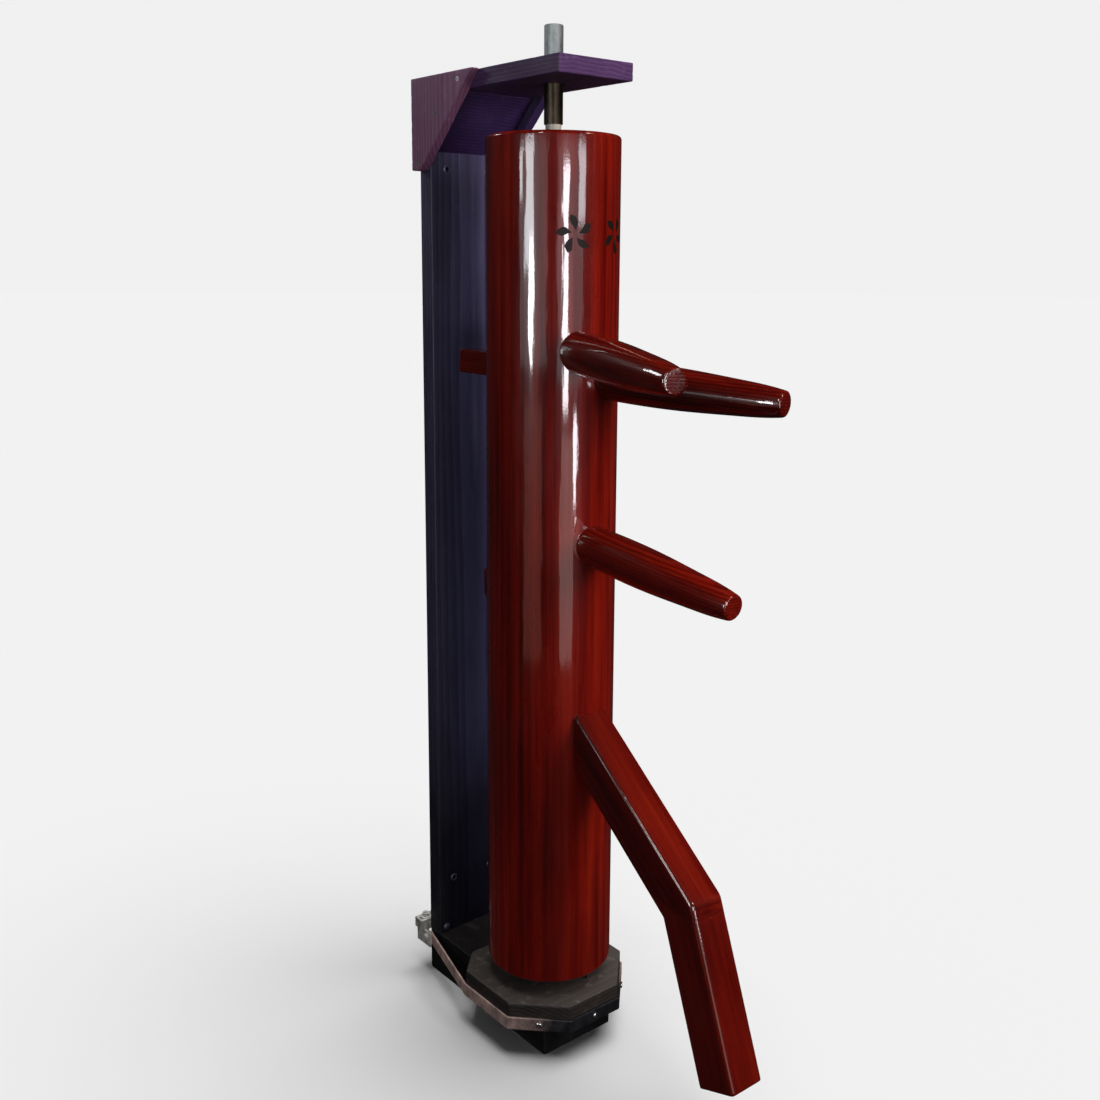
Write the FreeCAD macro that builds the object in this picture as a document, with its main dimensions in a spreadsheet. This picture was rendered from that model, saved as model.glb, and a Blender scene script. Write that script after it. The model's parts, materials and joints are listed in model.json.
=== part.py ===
# Wooden wing dummy on a wall stand, millimetres.
# +Z is up, the floor is Z = 0 and the trunk turns about the Z axis.
# The arms point to -Y, the back post stands on the +Y side.
# "right" and "left" are the dummy's own: right is -X, left is +X.
import FreeCAD, Part
import Sketcher
import math
import os

doc = FreeCAD.newDocument("WingDummy")
Vector = FreeCAD.Vector
Rotation = FreeCAD.Rotation
Placement = FreeCAD.Placement

# ---------------------------------------------------------------- driving dimensions
sheet = doc.addObject("Spreadsheet::Sheet", "Sizes")
SIZES = [
    ("trunk_radius", "115"),
    ("trunk_height", "1494"),
    ("rim_round", "6"),
    ("board_width", "160"),
    ("beam_height", "87"),
    ("beam_front", "86"),
    ("post_face", "250"),
    ("post_thick", "35"),
    ("post_back", "=post_face + post_thick"),
    ("block_width", "274"),
    ("block_front", "132"),
    ("block_back", "125"),
    ("front_corner", "80"),
    ("back_corner", "46"),
    ("block_above_beam", "25"),
    ("housing_depth", "21"),
    ("block_top", "=beam_height + block_above_beam"),
    ("flange_height", "22"),
    ("washer_thick", "3"),
    ("bush_rim", "6"),
    ("trunk_base", "=block_top + flange_height + washer_thick + bush_rim"),
    ("trunk_top", "=trunk_base + trunk_height"),
    ("shelf_gap", "84"),
    ("shelf_under", "=trunk_top + shelf_gap"),
    ("shelf_thick", "30"),
    ("shelf_top", "=shelf_under + shelf_thick"),
    ("shelf_front", "110"),
    ("gusset_thick", "18"),
    ("gusset_length", "188"),
    ("gusset_height", "160"),
    ("brace_setback", "18"),
    ("brace_thick", "28"),
    ("pipe_radius", "16"),
    ("pipe_above_shelf", "64"),
    ("pipe_gap", "19"),
    ("sleeve_radius", "13.5"),
    ("rod_radius", "10"),
    ("sleeve_height", "72"),
    ("running_gap", "0.05"),
    ("tenon", "42"),
    ("mortise_gap", "0.5"),
    ("shoulder_gap", "0.4"),
    ("arm_reach", "325"),
    ("upper_tail", "190"),
    ("lower_tail", "158"),
    ("upper_splay", "16"),
    ("upper_droop", "3.5"),
    ("lower_droop", "6.6"),
    ("right_arm_height", "1290"),
    ("left_arm_height", "1242"),
    ("lower_arm_height", "965"),
    ("peg_radius", "6"),
    ("limb_play", "6"),
    ("peg_head_radius", "9"),
    ("peg_stop_gap", "0.6"),
    ("peg_back", "=trunk_radius + limb_play + peg_head_radius + peg_stop_gap"),
    ("leg_width", "70"),
    ("leg_depth", "80"),
    ("leg_slope", "38"),
    ("leg_yaw", "-1"),
    ("shin_slope", "70"),
    ("thigh_length", "372"),
    ("shin_length", "296"),
    ("leg_entry", "652"),
    ("leg_tail_reach", "180"),
    ("leg_tenon", "40"),
    ("beside_tail", "=sqrt(trunk_radius ^ 2 - tenon ^ 2 / 4)"),
    ("leg_advance", "=limb_play * cos(leg_slope)"),
    ("leg_peg_back", "=beside_tail + leg_advance + peg_head_radius + peg_stop_gap"),
    ("strap_thick", "4"),
    ("strap_height", "24"),
    ("strap_base", "62"),
    ("channel_width", "25"),
    ("channel_height", "20"),
    ("channel_wall", "2.5"),
    ("channel_length", "202"),
    ("channel_base", "86"),
]
NAMES = [alias for alias, value in SIZES]
for row, (alias, value) in enumerate(SIZES, start=1):
    sheet.set("A%d" % row, alias)
    sheet.set("B%d" % row, value)
    sheet.setAlias("B%d" % row, alias)
doc.recompute()


def size(alias):
    return float(sheet.get(alias))


def bind(feature, prop, formula):
    """Drive one property of a feature from the sheet; names in the formula are sheet names."""
    words = []
    for word in formula.split():
        words.append("Sizes." + word if word in NAMES else word)
    feature.setExpression(prop, " ".join(words))


SUBPARTS = []


def keep(feature, label):
    """Mark a feature as a finished sub-part."""
    feature.Label = label
    SUBPARTS.append(feature)
    return feature


# ---------------------------------------------------------------- small builders
def origin_plane(body, role):
    for feature in body.Origin.OriginFeatures:
        if feature.Role == role:
            return feature
    raise ValueError(role)


def new_body(name):
    return doc.addObject("PartDesign::Body", name)


def new_sketch(body, name, role):
    sketch = body.newObject("Sketcher::SketchObject", name)
    sketch.AttachmentSupport = [(origin_plane(body, role), "")]
    sketch.MapMode = "FlatFace"
    return sketch


def draw_polygon(sketch, points):
    """Closed outline with its corners tied together."""
    first = sketch.GeometryCount
    count = len(points)
    for index in range(count):
        start = points[index]
        end = points[(index + 1) % count]
        sketch.addGeometry(Part.LineSegment(Vector(start[0], start[1], 0), Vector(end[0], end[1], 0)))
    for index in range(count):
        sketch.addConstraint(Sketcher.Constraint(
            "Coincident", first + index, 2, first + (index + 1) % count, 1))


def draw_circle(sketch, x, y, radius):
    sketch.addGeometry(Part.Circle(Vector(x, y, 0), Vector(0, 0, 1), radius))


def pad(body, sketch, formula, midplane=False):
    feature = body.newObject("PartDesign::Pad", "Pad")
    feature.Profile = sketch
    bind(feature, "Length", formula)
    if midplane:
        feature.SideType = "Symmetric"
    body.Tip = feature
    doc.recompute()
    return feature


def matching_edges(shape, test):
    return ["Edge%d" % (n + 1) for n, edge in enumerate(shape.Edges) if test(edge)]


def ease(body, kind, amount, test):
    """Fillet or Chamfer every edge of the body's last feature that passes the test."""
    base = body.Tip
    feature = body.newObject("PartDesign::" + kind, kind)
    feature.Base = (base, matching_edges(base.Shape, test))
    if kind == "Fillet":
        feature.Radius = amount
    else:
        feature.Size = amount
    body.Tip = feature
    doc.recompute()
    return feature


def is_straight_along(axis):
    def test(edge):
        if not isinstance(edge.Curve, Part.Line):
            return False
        return abs(abs(edge.Curve.Direction.dot(axis)) - 1) < 1e-6
    return test


def cylinder(name, radius, height, position=Vector(0, 0, 0), turn=Rotation()):
    """Radius and height are sheet formulas."""
    feature = doc.addObject("Part::Cylinder", name)
    bind(feature, "Radius", radius)
    bind(feature, "Height", height)
    feature.Placement = Placement(position, turn)
    return feature


def boolean(kind, name, base, tool):
    feature = doc.addObject("Part::" + kind, name)
    feature.Base = base
    feature.Tool = tool
    doc.recompute()
    return feature


def grouped(kind, name, members):
    """MultiFuse uses Shapes, Compound uses Links."""
    feature = doc.addObject("Part::" + kind, name)
    if kind == "MultiFuse":
        feature.Shapes = members
    else:
        feature.Links = members
    doc.recompute()
    return feature


def prism(name, radius, height, position, turn, sides=6):
    feature = doc.addObject("Part::Prism", name)
    feature.Polygon = sides
    feature.Circumradius = radius
    feature.Height = height
    feature.Placement = Placement(position, turn)
    return feature


UPRIGHT = Rotation()
ALONG_X = Rotation(Vector(0, 1, 0), 90)
ALONG_MINUS_X = Rotation(Vector(0, 1, 0), -90)
ALONG_Y = Rotation(Vector(1, 0, 0), -90)
ALONG_MINUS_Y = Rotation(Vector(1, 0, 0), 90)
UPSIDE_DOWN = Rotation(Vector(1, 0, 0), 180)

# ---------------------------------------------------------------- screws
# Every screw points along its local +Z with the top of the head at local Z = 0.
COUNTERSUNK_HEAD = 4.6
COUNTERSUNK_DEPTH = 3.0
WOOD_SCREW_SHANK = 2.2
PAN_HEAD = 6.0
PAN_HEIGHT = 3.2
DOME_ROUND = 2.4
HOLE_GAP = 0.05
GUSSET_SCREW = 50
SHELF_SCREW = 75
BLOCK_SCREW = 65
BEAM_SCREW = 110
STRAP_SCREW = 40
FLANGE_SCREW = 38


def countersunk_screw(name, length, position, turn):
    head = doc.addObject("Part::Cone", name + "_head")
    head.Radius1 = COUNTERSUNK_HEAD
    head.Radius2 = WOOD_SCREW_SHANK
    head.Height = COUNTERSUNK_DEPTH
    shank = doc.addObject("Part::Cylinder", name + "_shank")
    shank.Radius = WOOD_SCREW_SHANK
    shank.Height = length
    slot_a = doc.addObject("Part::Box", name + "_slot_a")
    slot_b = doc.addObject("Part::Box", name + "_slot_b")
    for slot, across, along in ((slot_a, 0.9, 4.4), (slot_b, 4.4, 0.9)):
        slot.Length = along
        slot.Width = across
        slot.Height = 1.6
        slot.Placement.Base = Vector(-along / 2, -across / 2, 0)
    blank = grouped("MultiFuse", name + "_blank", [head, shank])
    cross = grouped("MultiFuse", name + "_cross", [slot_a, slot_b])
    screw = boolean("Cut", name, blank, cross)
    screw.Placement = Placement(position, turn)
    return screw


def countersunk_hole(name, length, position, turn):
    """The clearance that the countersunk screw sits in."""
    head = doc.addObject("Part::Cone", name + "_sink")
    head.Radius1 = COUNTERSUNK_HEAD + HOLE_GAP
    head.Radius2 = WOOD_SCREW_SHANK + HOLE_GAP
    head.Height = COUNTERSUNK_DEPTH
    shank = doc.addObject("Part::Cylinder", name + "_bore")
    shank.Radius = WOOD_SCREW_SHANK + HOLE_GAP
    shank.Height = length + 1
    hole = grouped("MultiFuse", name, [head, shank])
    hole.Placement = Placement(position, turn)
    return hole


def pan_screw(name, length, position, turn):
    """Round head standing proud: the underside of the head is at local Z = 0."""
    head = doc.addObject("Part::Cylinder", name + "_head")
    head.Radius = PAN_HEAD
    head.Height = PAN_HEIGHT
    head.Placement.Base = Vector(0, 0, -PAN_HEIGHT)
    domed = doc.addObject("Part::Fillet", name + "_dome")
    doc.recompute()
    domed.Base = head
    rims = []
    for number, edge in enumerate(head.Shape.Edges, start=1):
        is_rim = isinstance(edge.Curve, Part.Circle)
        if is_rim and abs(edge.Curve.Center.z + PAN_HEIGHT) < 1e-6:
            rims.append((number, DOME_ROUND, DOME_ROUND))
    domed.Edges = rims
    shank = doc.addObject("Part::Cylinder", name + "_shank")
    shank.Radius = WOOD_SCREW_SHANK
    shank.Height = length
    screw = grouped("MultiFuse", name, [domed, shank])
    screw.Placement = Placement(position, turn)
    return screw


def plain_hole(name, radius, length, position, turn):
    hole = doc.addObject("Part::Cylinder", name)
    hole.Radius = radius
    hole.Height = length
    hole.Placement = Placement(position, turn)
    return hole


def drilled(label, board, holes):
    """The finished board: the blank with its holes cut."""
    tool = grouped("Compound", label + "_holes", holes)
    return keep(boolean("Cut", label + "_cut", board, tool), label)


def screw_set(label, builder, hole_builder, spots, length):
    """One node of equal screws and, for each screw, the hole it sits in."""
    screws = []
    for number, (position, turn) in enumerate(spots):
        screws.append(builder("%s_%d" % (label, number), length, position, turn))
    keep(grouped("Compound", label + "_set", screws), label)

    def holes(prefix):
        made = []
        for number, (position, turn) in enumerate(spots):
            made.append(hole_builder("%s_%s_%d" % (prefix, label, number), length, position, turn))
        return made
    return holes


def shank_hole(name, length, position, turn):
    return plain_hole(name, WOOD_SCREW_SHANK + HOLE_GAP, length + 1, position, turn)


# ---------------------------------------------------------------- where the screws go
half_board = size("board_width") / 2
post_middle = size("post_face") + size("post_thick") / 2
shelf_middle = size("shelf_under") + size("shelf_thick") / 2
gusset_foot_z = size("shelf_top") - size("gusset_height")
gusset_edge = size("post_back") - size("gusset_length") + size("shelf_top")
brace_front = gusset_edge + size("brace_setback") * math.sqrt(2)
brace_back = brace_front + size("brace_thick") * math.sqrt(2)
brace_line = (brace_front + brace_back) / 2

# The near screw of each gusset holds the shelf, the middle one the brace, the low one the post.
SHELF_SCREW_AHEAD = 17
BRACE_SCREW_BELOW = 51
POST_SCREW_ABOVE = 12
brace_screw_z = shelf_middle - BRACE_SCREW_BELOW

gusset_spots = []
for side, turn in ((-1, ALONG_X), (1, ALONG_MINUS_X)):
    outer = side * (half_board + size("gusset_thick"))
    gusset_spots.append((Vector(outer, brace_line - shelf_middle - SHELF_SCREW_AHEAD, shelf_middle), turn))
    gusset_spots.append((Vector(outer, brace_line - brace_screw_z, brace_screw_z), turn))
    gusset_spots.append((Vector(outer, post_middle, gusset_foot_z + POST_SCREW_ABOVE), turn))
gusset_holes = screw_set("gusset_screws", countersunk_screw, countersunk_hole, gusset_spots, GUSSET_SCREW)

shelf_spots = [(Vector(x, post_middle, size("shelf_top")), UPSIDE_DOWN) for x in (-50, 0, 50)]
shelf_holes = screw_set("shelf_screws", countersunk_screw, countersunk_hole, shelf_spots, SHELF_SCREW)

BLOCK_SCREWS = ((24, -76), (60, 105), (-45, 108))
block_spots = [(Vector(x, y, size("block_top")), UPSIDE_DOWN) for x, y in BLOCK_SCREWS]
block_holes = screw_set("block_screws", countersunk_screw, countersunk_hole, block_spots, BLOCK_SCREW)

# The beam's screws go up into the post from the bottom of deep counterbores.
BEAM_SCREW_X = (-45, 45)
COUNTERBORE_DEPTH = 30
COUNTERBORE_RADIUS = 6
beam_spots = [(Vector(x, post_middle, COUNTERBORE_DEPTH), UPRIGHT) for x in BEAM_SCREW_X]
beam_holes = screw_set("beam_screws", countersunk_screw, countersunk_hole, beam_spots, BEAM_SCREW)

# Corners of the octagon block, going round from the back left to the back right.
half_block = size("block_width") / 2
BLOCK_SIDE = [
    (half_block - size("back_corner"), size("block_back")),
    (half_block, size("block_back") - size("back_corner")),
    (half_block, size("front_corner") - size("block_front")),
    (half_block - size("front_corner"), -size("block_front")),
]
block_corners = BLOCK_SIDE + [(-x, y) for x, y in reversed(BLOCK_SIDE)]
strap_middle = size("strap_base") + size("strap_height") / 2
corner_middle = Vector(half_block - size("front_corner") / 2, size("front_corner") / 2 - size("block_front"),
                       strap_middle)
strap_spots = []
for bearing in (-45, 0, 45):
    turn = Rotation(Vector(0, 0, 1), bearing)
    face = Vector(0, -size("block_front"), strap_middle)
    if bearing != 0:
        face = Vector(math.copysign(corner_middle.x, bearing), corner_middle.y, corner_middle.z)
    head = face + turn.multVec(Vector(0, -size("strap_thick"), 0))
    strap_spots.append((head, turn * ALONG_Y))
strap_holes = screw_set("strap_screws", pan_screw, shank_hole, strap_spots, STRAP_SCREW)

FLANGE_CIRCLE = 36
FLANGE_PLATE = 7
flange_spots = []
for bearing in (45, 135, 225, 315):
    spot = Rotation(Vector(0, 0, 1), bearing).multVec(Vector(FLANGE_CIRCLE, 0, 0))
    flange_spots.append((spot + Vector(0, 0, size("block_top") + FLANGE_PLATE), UPSIDE_DOWN))
flange_holes = screw_set("flange_screws", countersunk_screw, countersunk_hole, flange_spots, FLANGE_SCREW)

# ---------------------------------------------------------------- the stand's timbers
EDGE_EASE = 2.0


def rectangle(x0, x1, y0, y1):
    return [(x0, y0), (x1, y0), (x1, y1), (x0, y1)]


def board(name, outline, role, formula, midplane, eased_axis, amount=EDGE_EASE):
    body = new_body(name)
    sketch = new_sketch(body, name + "_outline", role)
    draw_polygon(sketch, outline)
    pad(body, sketch, formula, midplane)
    ease(body, "Fillet", amount, is_straight_along(eased_axis))
    return body


def make_base_beam():
    outline = rectangle(-half_board, half_board, -size("beam_front"), size("post_back"))
    body = board("beam_blank", outline, "XY_Plane", "beam_height", False, Vector(0, 0, 1))
    deep = [plain_hole("beam_counterbore_%d" % n, COUNTERBORE_RADIUS, COUNTERBORE_DEPTH,
                       Vector(x, post_middle, 0), UPRIGHT)
            for n, x in enumerate(BEAM_SCREW_X)]
    drilled("base_beam", body, deep + beam_holes("beam") + block_holes("beam") + flange_holes("beam")
            + strap_holes("beam"))


def make_octagon_block():
    body = new_body("block_blank")
    sketch = new_sketch(body, "block_outline", "XY_Plane")
    draw_polygon(sketch, block_corners)
    pad(body, sketch, "block_above_beam + housing_depth")
    top = size("block_above_beam") + size("housing_depth")
    ease(body, "Chamfer", 2.0, lambda edge: abs(edge.BoundBox.ZMin - top) < 1e-6)
    body.Placement.Base = Vector(0, 0, size("block_top") - top)
    housing = doc.addObject("Part::Box", "block_housing")
    bind(housing, "Length", "board_width")
    bind(housing, "Width", "beam_front + block_width")
    bind(housing, "Height", "housing_depth")
    housing_floor = size("beam_height") - size("housing_depth")
    housing.Placement.Base = Vector(-half_board, -size("beam_front"), housing_floor)
    drilled("octagon_block", body, [housing] + block_holes("block") + flange_holes("block")
            + strap_holes("block"))


def make_back_post():
    outline = rectangle(-half_board, half_board, size("post_face"), size("post_back"))
    body = board("post_blank", outline, "XY_Plane", "shelf_under - beam_height", False, Vector(0, 0, 1))
    body.Placement.Base.z = size("beam_height")
    holes = gusset_holes("post") + shelf_holes("post") + beam_holes("post")
    front = Vector(0, size("post_face") - 1, 0)
    for number, (x, z) in enumerate(WALL_HOLES):
        spot = front + Vector(x, 0, z)
        holes.append(plain_hole("wall_hole_%d" % number, WALL_HOLE_RADIUS, 60, spot, ALONG_Y))
    for number, x in enumerate(CHANNEL_BOLTS):
        spot = front + Vector(x, 0, channel_bolt_z)
        holes.append(plain_hole("channel_bolt_hole_%d" % number, THIN_BOLT_HOLE, 60, spot, ALONG_Y))
    drilled("back_post", body, holes)


def make_top_shelf():
    outline = rectangle(-half_board, half_board, -size("shelf_front"), size("post_back"))
    body = board("shelf_blank", outline, "XY_Plane", "shelf_thick", False, Vector(0, 0, 1), 3.0)
    body.Placement.Base.z = size("shelf_under")
    bore = cylinder("shelf_bore", "pipe_radius + running_gap", "shelf_thick + 2",
                    Vector(0, 0, size("shelf_under") - 1))
    drilled("top_shelf", body, [bore] + gusset_holes("shelf") + shelf_holes("shelf"))


def make_gusset(label, side):
    """Side plate with a 45 degree front edge, outside the post and the shelf."""
    back = size("post_back")
    top = size("shelf_top")
    outline = [
        (back, top),
        (back - size("gusset_length"), top),
        (gusset_edge - gusset_foot_z, gusset_foot_z),
        (back, gusset_foot_z),
    ]
    body = new_body(label + "_blank")
    sketch = new_sketch(body, label + "_outline", "YZ_Plane")
    draw_polygon(sketch, outline)
    pad(body, sketch, "gusset_thick")
    ease(body, "Fillet", 1.0, is_straight_along(Vector(1, 0, 0)))
    if side < 0:
        body.Placement.Base.x = -half_board - size("gusset_thick")
    else:
        body.Placement.Base.x = half_board
    spots = gusset_spots[:3] if side < 0 else gusset_spots[3:]
    holes = []
    for number, (position, turn) in enumerate(spots):
        holes.append(countersunk_hole("%s_hole_%d" % (label, number), GUSSET_SCREW, position, turn))
    drilled(label, body, holes)


def make_brace():
    """Diagonal board between the two gussets, mitred to the shelf and the post."""
    face = size("post_face")
    under = size("shelf_under")
    outline = [
        (brace_front - under, under),
        (brace_back - under, under),
        (face, brace_back - face),
        (face, brace_front - face),
    ]
    body = new_body("brace_blank")
    sketch = new_sketch(body, "brace_outline", "YZ_Plane")
    draw_polygon(sketch, outline)
    pad(body, sketch, "board_width", midplane=True)
    drilled("diagonal_brace", body, gusset_holes("brace"))


# ---------------------------------------------------------------- strut channel, strap and fittings
WALL_HOLE_RADIUS = 4.5
WALL_HOLES = [(-45, 1595), (45, 1595), (-45, 200), (45, 200)]
BOLT_RADIUS = 4.0
THIN_BOLT_RADIUS = 3.0
THIN_BOLT_HOLE = THIN_BOLT_RADIUS + HOLE_GAP
CHANNEL_BOLTS = (-64, 64)
SLOT_PITCH = 43
SLOT_LENGTH = 22
SLOT_RADIUS = 4.5
channel_bolt_z = size("channel_base") + 11
CUP_RADIUS = 7.5
CUP_TOP_RADIUS = 5.8
CUP_HEIGHT = 2.0
HEX_RADIUS = 7.5
HEX_HEAD = 5.5
HANGER_NUT = 8.5
TIE_NUT = 6.5
FLAT_WASHER = 2.0
FLAT_WASHER_RADIUS = 11.0


def make_wall_washers():
    """Raised cup washers on the post face, one round each wall hole."""
    rings = []
    for number, (x, z) in enumerate(WALL_HOLES):
        spot = Vector(x, size("post_face"), z)
        cup = doc.addObject("Part::Cone", "cup_%d" % number)
        cup.Radius1 = CUP_RADIUS
        cup.Radius2 = CUP_TOP_RADIUS
        cup.Height = CUP_HEIGHT
        cup.Placement = Placement(spot, ALONG_MINUS_Y)
        bore = plain_hole("cup_bore_%d" % number, WALL_HOLE_RADIUS, 10, spot + Vector(0, 5, 0), ALONG_MINUS_Y)
        rings.append(boolean("Cut", "cup_ring_%d" % number, cup, bore))
    keep(grouped("Compound", "wall_washers_set", rings), "wall_washers")


def make_channel():
    """Slotted strut channel lying across the back of the post, open side down."""
    width = size("channel_width")
    height = size("channel_height")
    wall = size("channel_wall")
    lip = 6.0
    fold = 5.0
    front = size("post_back")
    low = size("channel_base")
    section = [
        (0, height), (0, 0), (lip, 0), (lip, fold), (lip - wall, fold), (lip - wall, wall),
        (wall, wall), (wall, height - wall), (width - wall, height - wall), (width - wall, wall),
        (width - lip + wall, wall), (width - lip + wall, fold), (width - lip, fold), (width - lip, 0),
        (width, 0), (width, height),
    ]
    body = new_body("channel_blank")
    sketch = new_sketch(body, "channel_section", "YZ_Plane")
    draw_polygon(sketch, section)
    pad(body, sketch, "channel_length", midplane=True)
    body.Placement.Base = Vector(0, front, low)
    cuts = []
    for number in range(5):
        x = (number - 2) * SLOT_PITCH
        straight = SLOT_LENGTH / 2 - SLOT_RADIUS
        middle = Vector(x, front + width / 2, low + height - wall - 1)
        for end in (-straight, straight):
            cuts.append(plain_hole("slot_end_%d_%d" % (number, end > 0), SLOT_RADIUS, wall + 2,
                                   middle + Vector(end, 0, 0), UPRIGHT))
        waist = doc.addObject("Part::Box", "slot_waist_%d" % number)
        waist.Length = 2 * straight
        waist.Width = 2 * SLOT_RADIUS
        waist.Height = wall + 2
        waist.Placement.Base = middle - Vector(straight, SLOT_RADIUS, 0)
        cuts.append(waist)
    for number, x in enumerate(CHANNEL_BOLTS):
        spot = Vector(x, front - 1, channel_bolt_z)
        cuts.append(plain_hole("channel_drill_%d" % number, THIN_BOLT_HOLE, wall + 2, spot, ALONG_Y))
    tool = grouped("MultiFuse", "channel_cuts", cuts)
    keep(boolean("Cut", "channel_cut", body, tool), "wall_channel")


def make_channel_bolts():
    """Dome headed bolts through the post with their nuts inside the channel."""
    bolts = []
    nuts = []
    face = size("post_face")
    inside = size("post_back") + size("channel_wall")
    for number, x in enumerate(CHANNEL_BOLTS):
        spot = Vector(x, face, channel_bolt_z)
        head = doc.addObject("Part::Cone", "bolt_head_%d" % number)
        head.Radius1 = 7.5
        head.Radius2 = 4
        head.Height = 3.5
        head.Placement = Placement(spot, ALONG_MINUS_Y)
        shank = plain_hole("bolt_shank_%d" % number, THIN_BOLT_RADIUS, inside - face + 9, spot, ALONG_Y)
        bolts.append(grouped("MultiFuse", "channel_bolt_%d" % number, [head, shank]))
        nut = prism("nut_blank_%d" % number, 5.8, 5, Vector(x, inside, channel_bolt_z), ALONG_Y)
        bore = plain_hole("nut_bore_%d" % number, THIN_BOLT_RADIUS + HOLE_GAP, 10,
                          Vector(x, inside - 1, channel_bolt_z), ALONG_Y)
        nuts.append(boolean("Cut", "channel_nut_%d" % number, nut, bore))
    keep(grouped("Compound", "channel_bolts_set", bolts), "channel_bolts")
    keep(grouped("Compound", "channel_nuts_set", nuts), "channel_nuts")


# The strap ends lie against the inside of the brackets' hanging legs.
TAB_X = 92.0
TAB_FRONT = 262.0
TAB_BACK = 285.0
TIE_Y = 277.0
BRACKET_LEG = 4.0
# The leg starts behind the strap's last bend, where the strap is flat.
BRACKET_FRONT = TAB_FRONT + 2
BRACKET_PLATE = 3.0
BRACKET_LOW = 56.0
BRACKET_REACH = 20.0
# The hanger bolts stand a little inside the middle of the end slots, clear of the brackets' legs.
HANGER_X = 2 * SLOT_PITCH - 2.5
HANGER_Y = size("post_back") + size("channel_width") / 2


def offset_path(points, distance):
    """Open path moved sideways to its right by a distance, corners mitred."""
    normals = []
    for start, end in zip(points[:-1], points[1:]):
        run = math.hypot(end[0] - start[0], end[1] - start[1])
        normals.append(((end[1] - start[1]) / run, (start[0] - end[0]) / run))
    moved = []
    for index, (x, y) in enumerate(points):
        before = normals[max(index - 1, 0)]
        after = normals[min(index, len(normals) - 1)]
        spread = 1 + before[0] * after[0] + before[1] * after[1]
        moved.append((x + distance * (before[0] + after[0]) / spread,
                      y + distance * (before[1] + after[1]) / spread))
    return moved


def make_strap():
    """Flat bar bent round the front of the octagon block and run back to the brackets."""
    tab_x = TAB_X - size("strap_thick")
    right_run = [(tab_x, TAB_BACK), (tab_x, TAB_FRONT)] + BLOCK_SIDE[1:]
    left_run = [(-x, y) for x, y in reversed(right_run)]
    inner = left_run[::-1] + right_run[::-1]
    outer = offset_path(inner, size("strap_thick"))
    body = new_body("strap_blank")
    sketch = new_sketch(body, "strap_outline", "XY_Plane")
    draw_polygon(sketch, outer + inner[::-1])
    pad(body, sketch, "strap_height")

    def outer_bend(edge):
        if not is_straight_along(Vector(0, 0, 1))(edge):
            return False
        spot = edge.Vertexes[0].Point
        return any(math.hypot(spot.x - x, spot.y - y) < 0.01 for x, y in outer[1:-1])

    ease(body, "Fillet", 5.0, outer_bend)
    body.Placement.Base.z = size("strap_base")
    holes = strap_holes("strap")
    for side in (-1, 1):
        spot = Vector(side * TAB_X - 7, TIE_Y, strap_middle)
        holes.append(plain_hole("tie_hole_%d" % (side > 0), BOLT_RADIUS + HOLE_GAP, 14, spot, ALONG_X))
    drilled("tie_strap", body, holes)


def make_bracket(label, side):
    """Angle bracket: plate under the channel end, leg hanging outside the strap end."""
    low = size("channel_base")
    outside = TAB_X + BRACKET_LEG
    plate = doc.addObject("Part::Box", label + "_plate")
    plate.Length = BRACKET_REACH
    bind(plate, "Width", "channel_width - 1")
    plate.Height = BRACKET_PLATE
    leg = doc.addObject("Part::Box", label + "_leg")
    leg.Length = BRACKET_LEG
    leg.Width = size("post_back") + size("channel_width") - BRACKET_FRONT
    leg.Height = low - BRACKET_LOW
    x_plate = outside - BRACKET_REACH if side > 0 else -outside
    x_leg = TAB_X if side > 0 else -outside
    plate.Placement.Base = Vector(x_plate, size("post_back") + 1, low - BRACKET_PLATE)
    leg.Placement.Base = Vector(x_leg, BRACKET_FRONT, BRACKET_LOW)
    blank = grouped("MultiFuse", label + "_blank", [plate, leg])
    holes = [
        plain_hole(label + "_hole_up", BOLT_RADIUS + HOLE_GAP, 20,
                   Vector(side * HANGER_X, HANGER_Y, low - 10), UPRIGHT),
        plain_hole(label + "_hole_side", BOLT_RADIUS + HOLE_GAP, 20,
                   Vector(side * TAB_X - 10, TIE_Y, strap_middle), ALONG_X),
    ]
    drilled(label, blank, holes)


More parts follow.
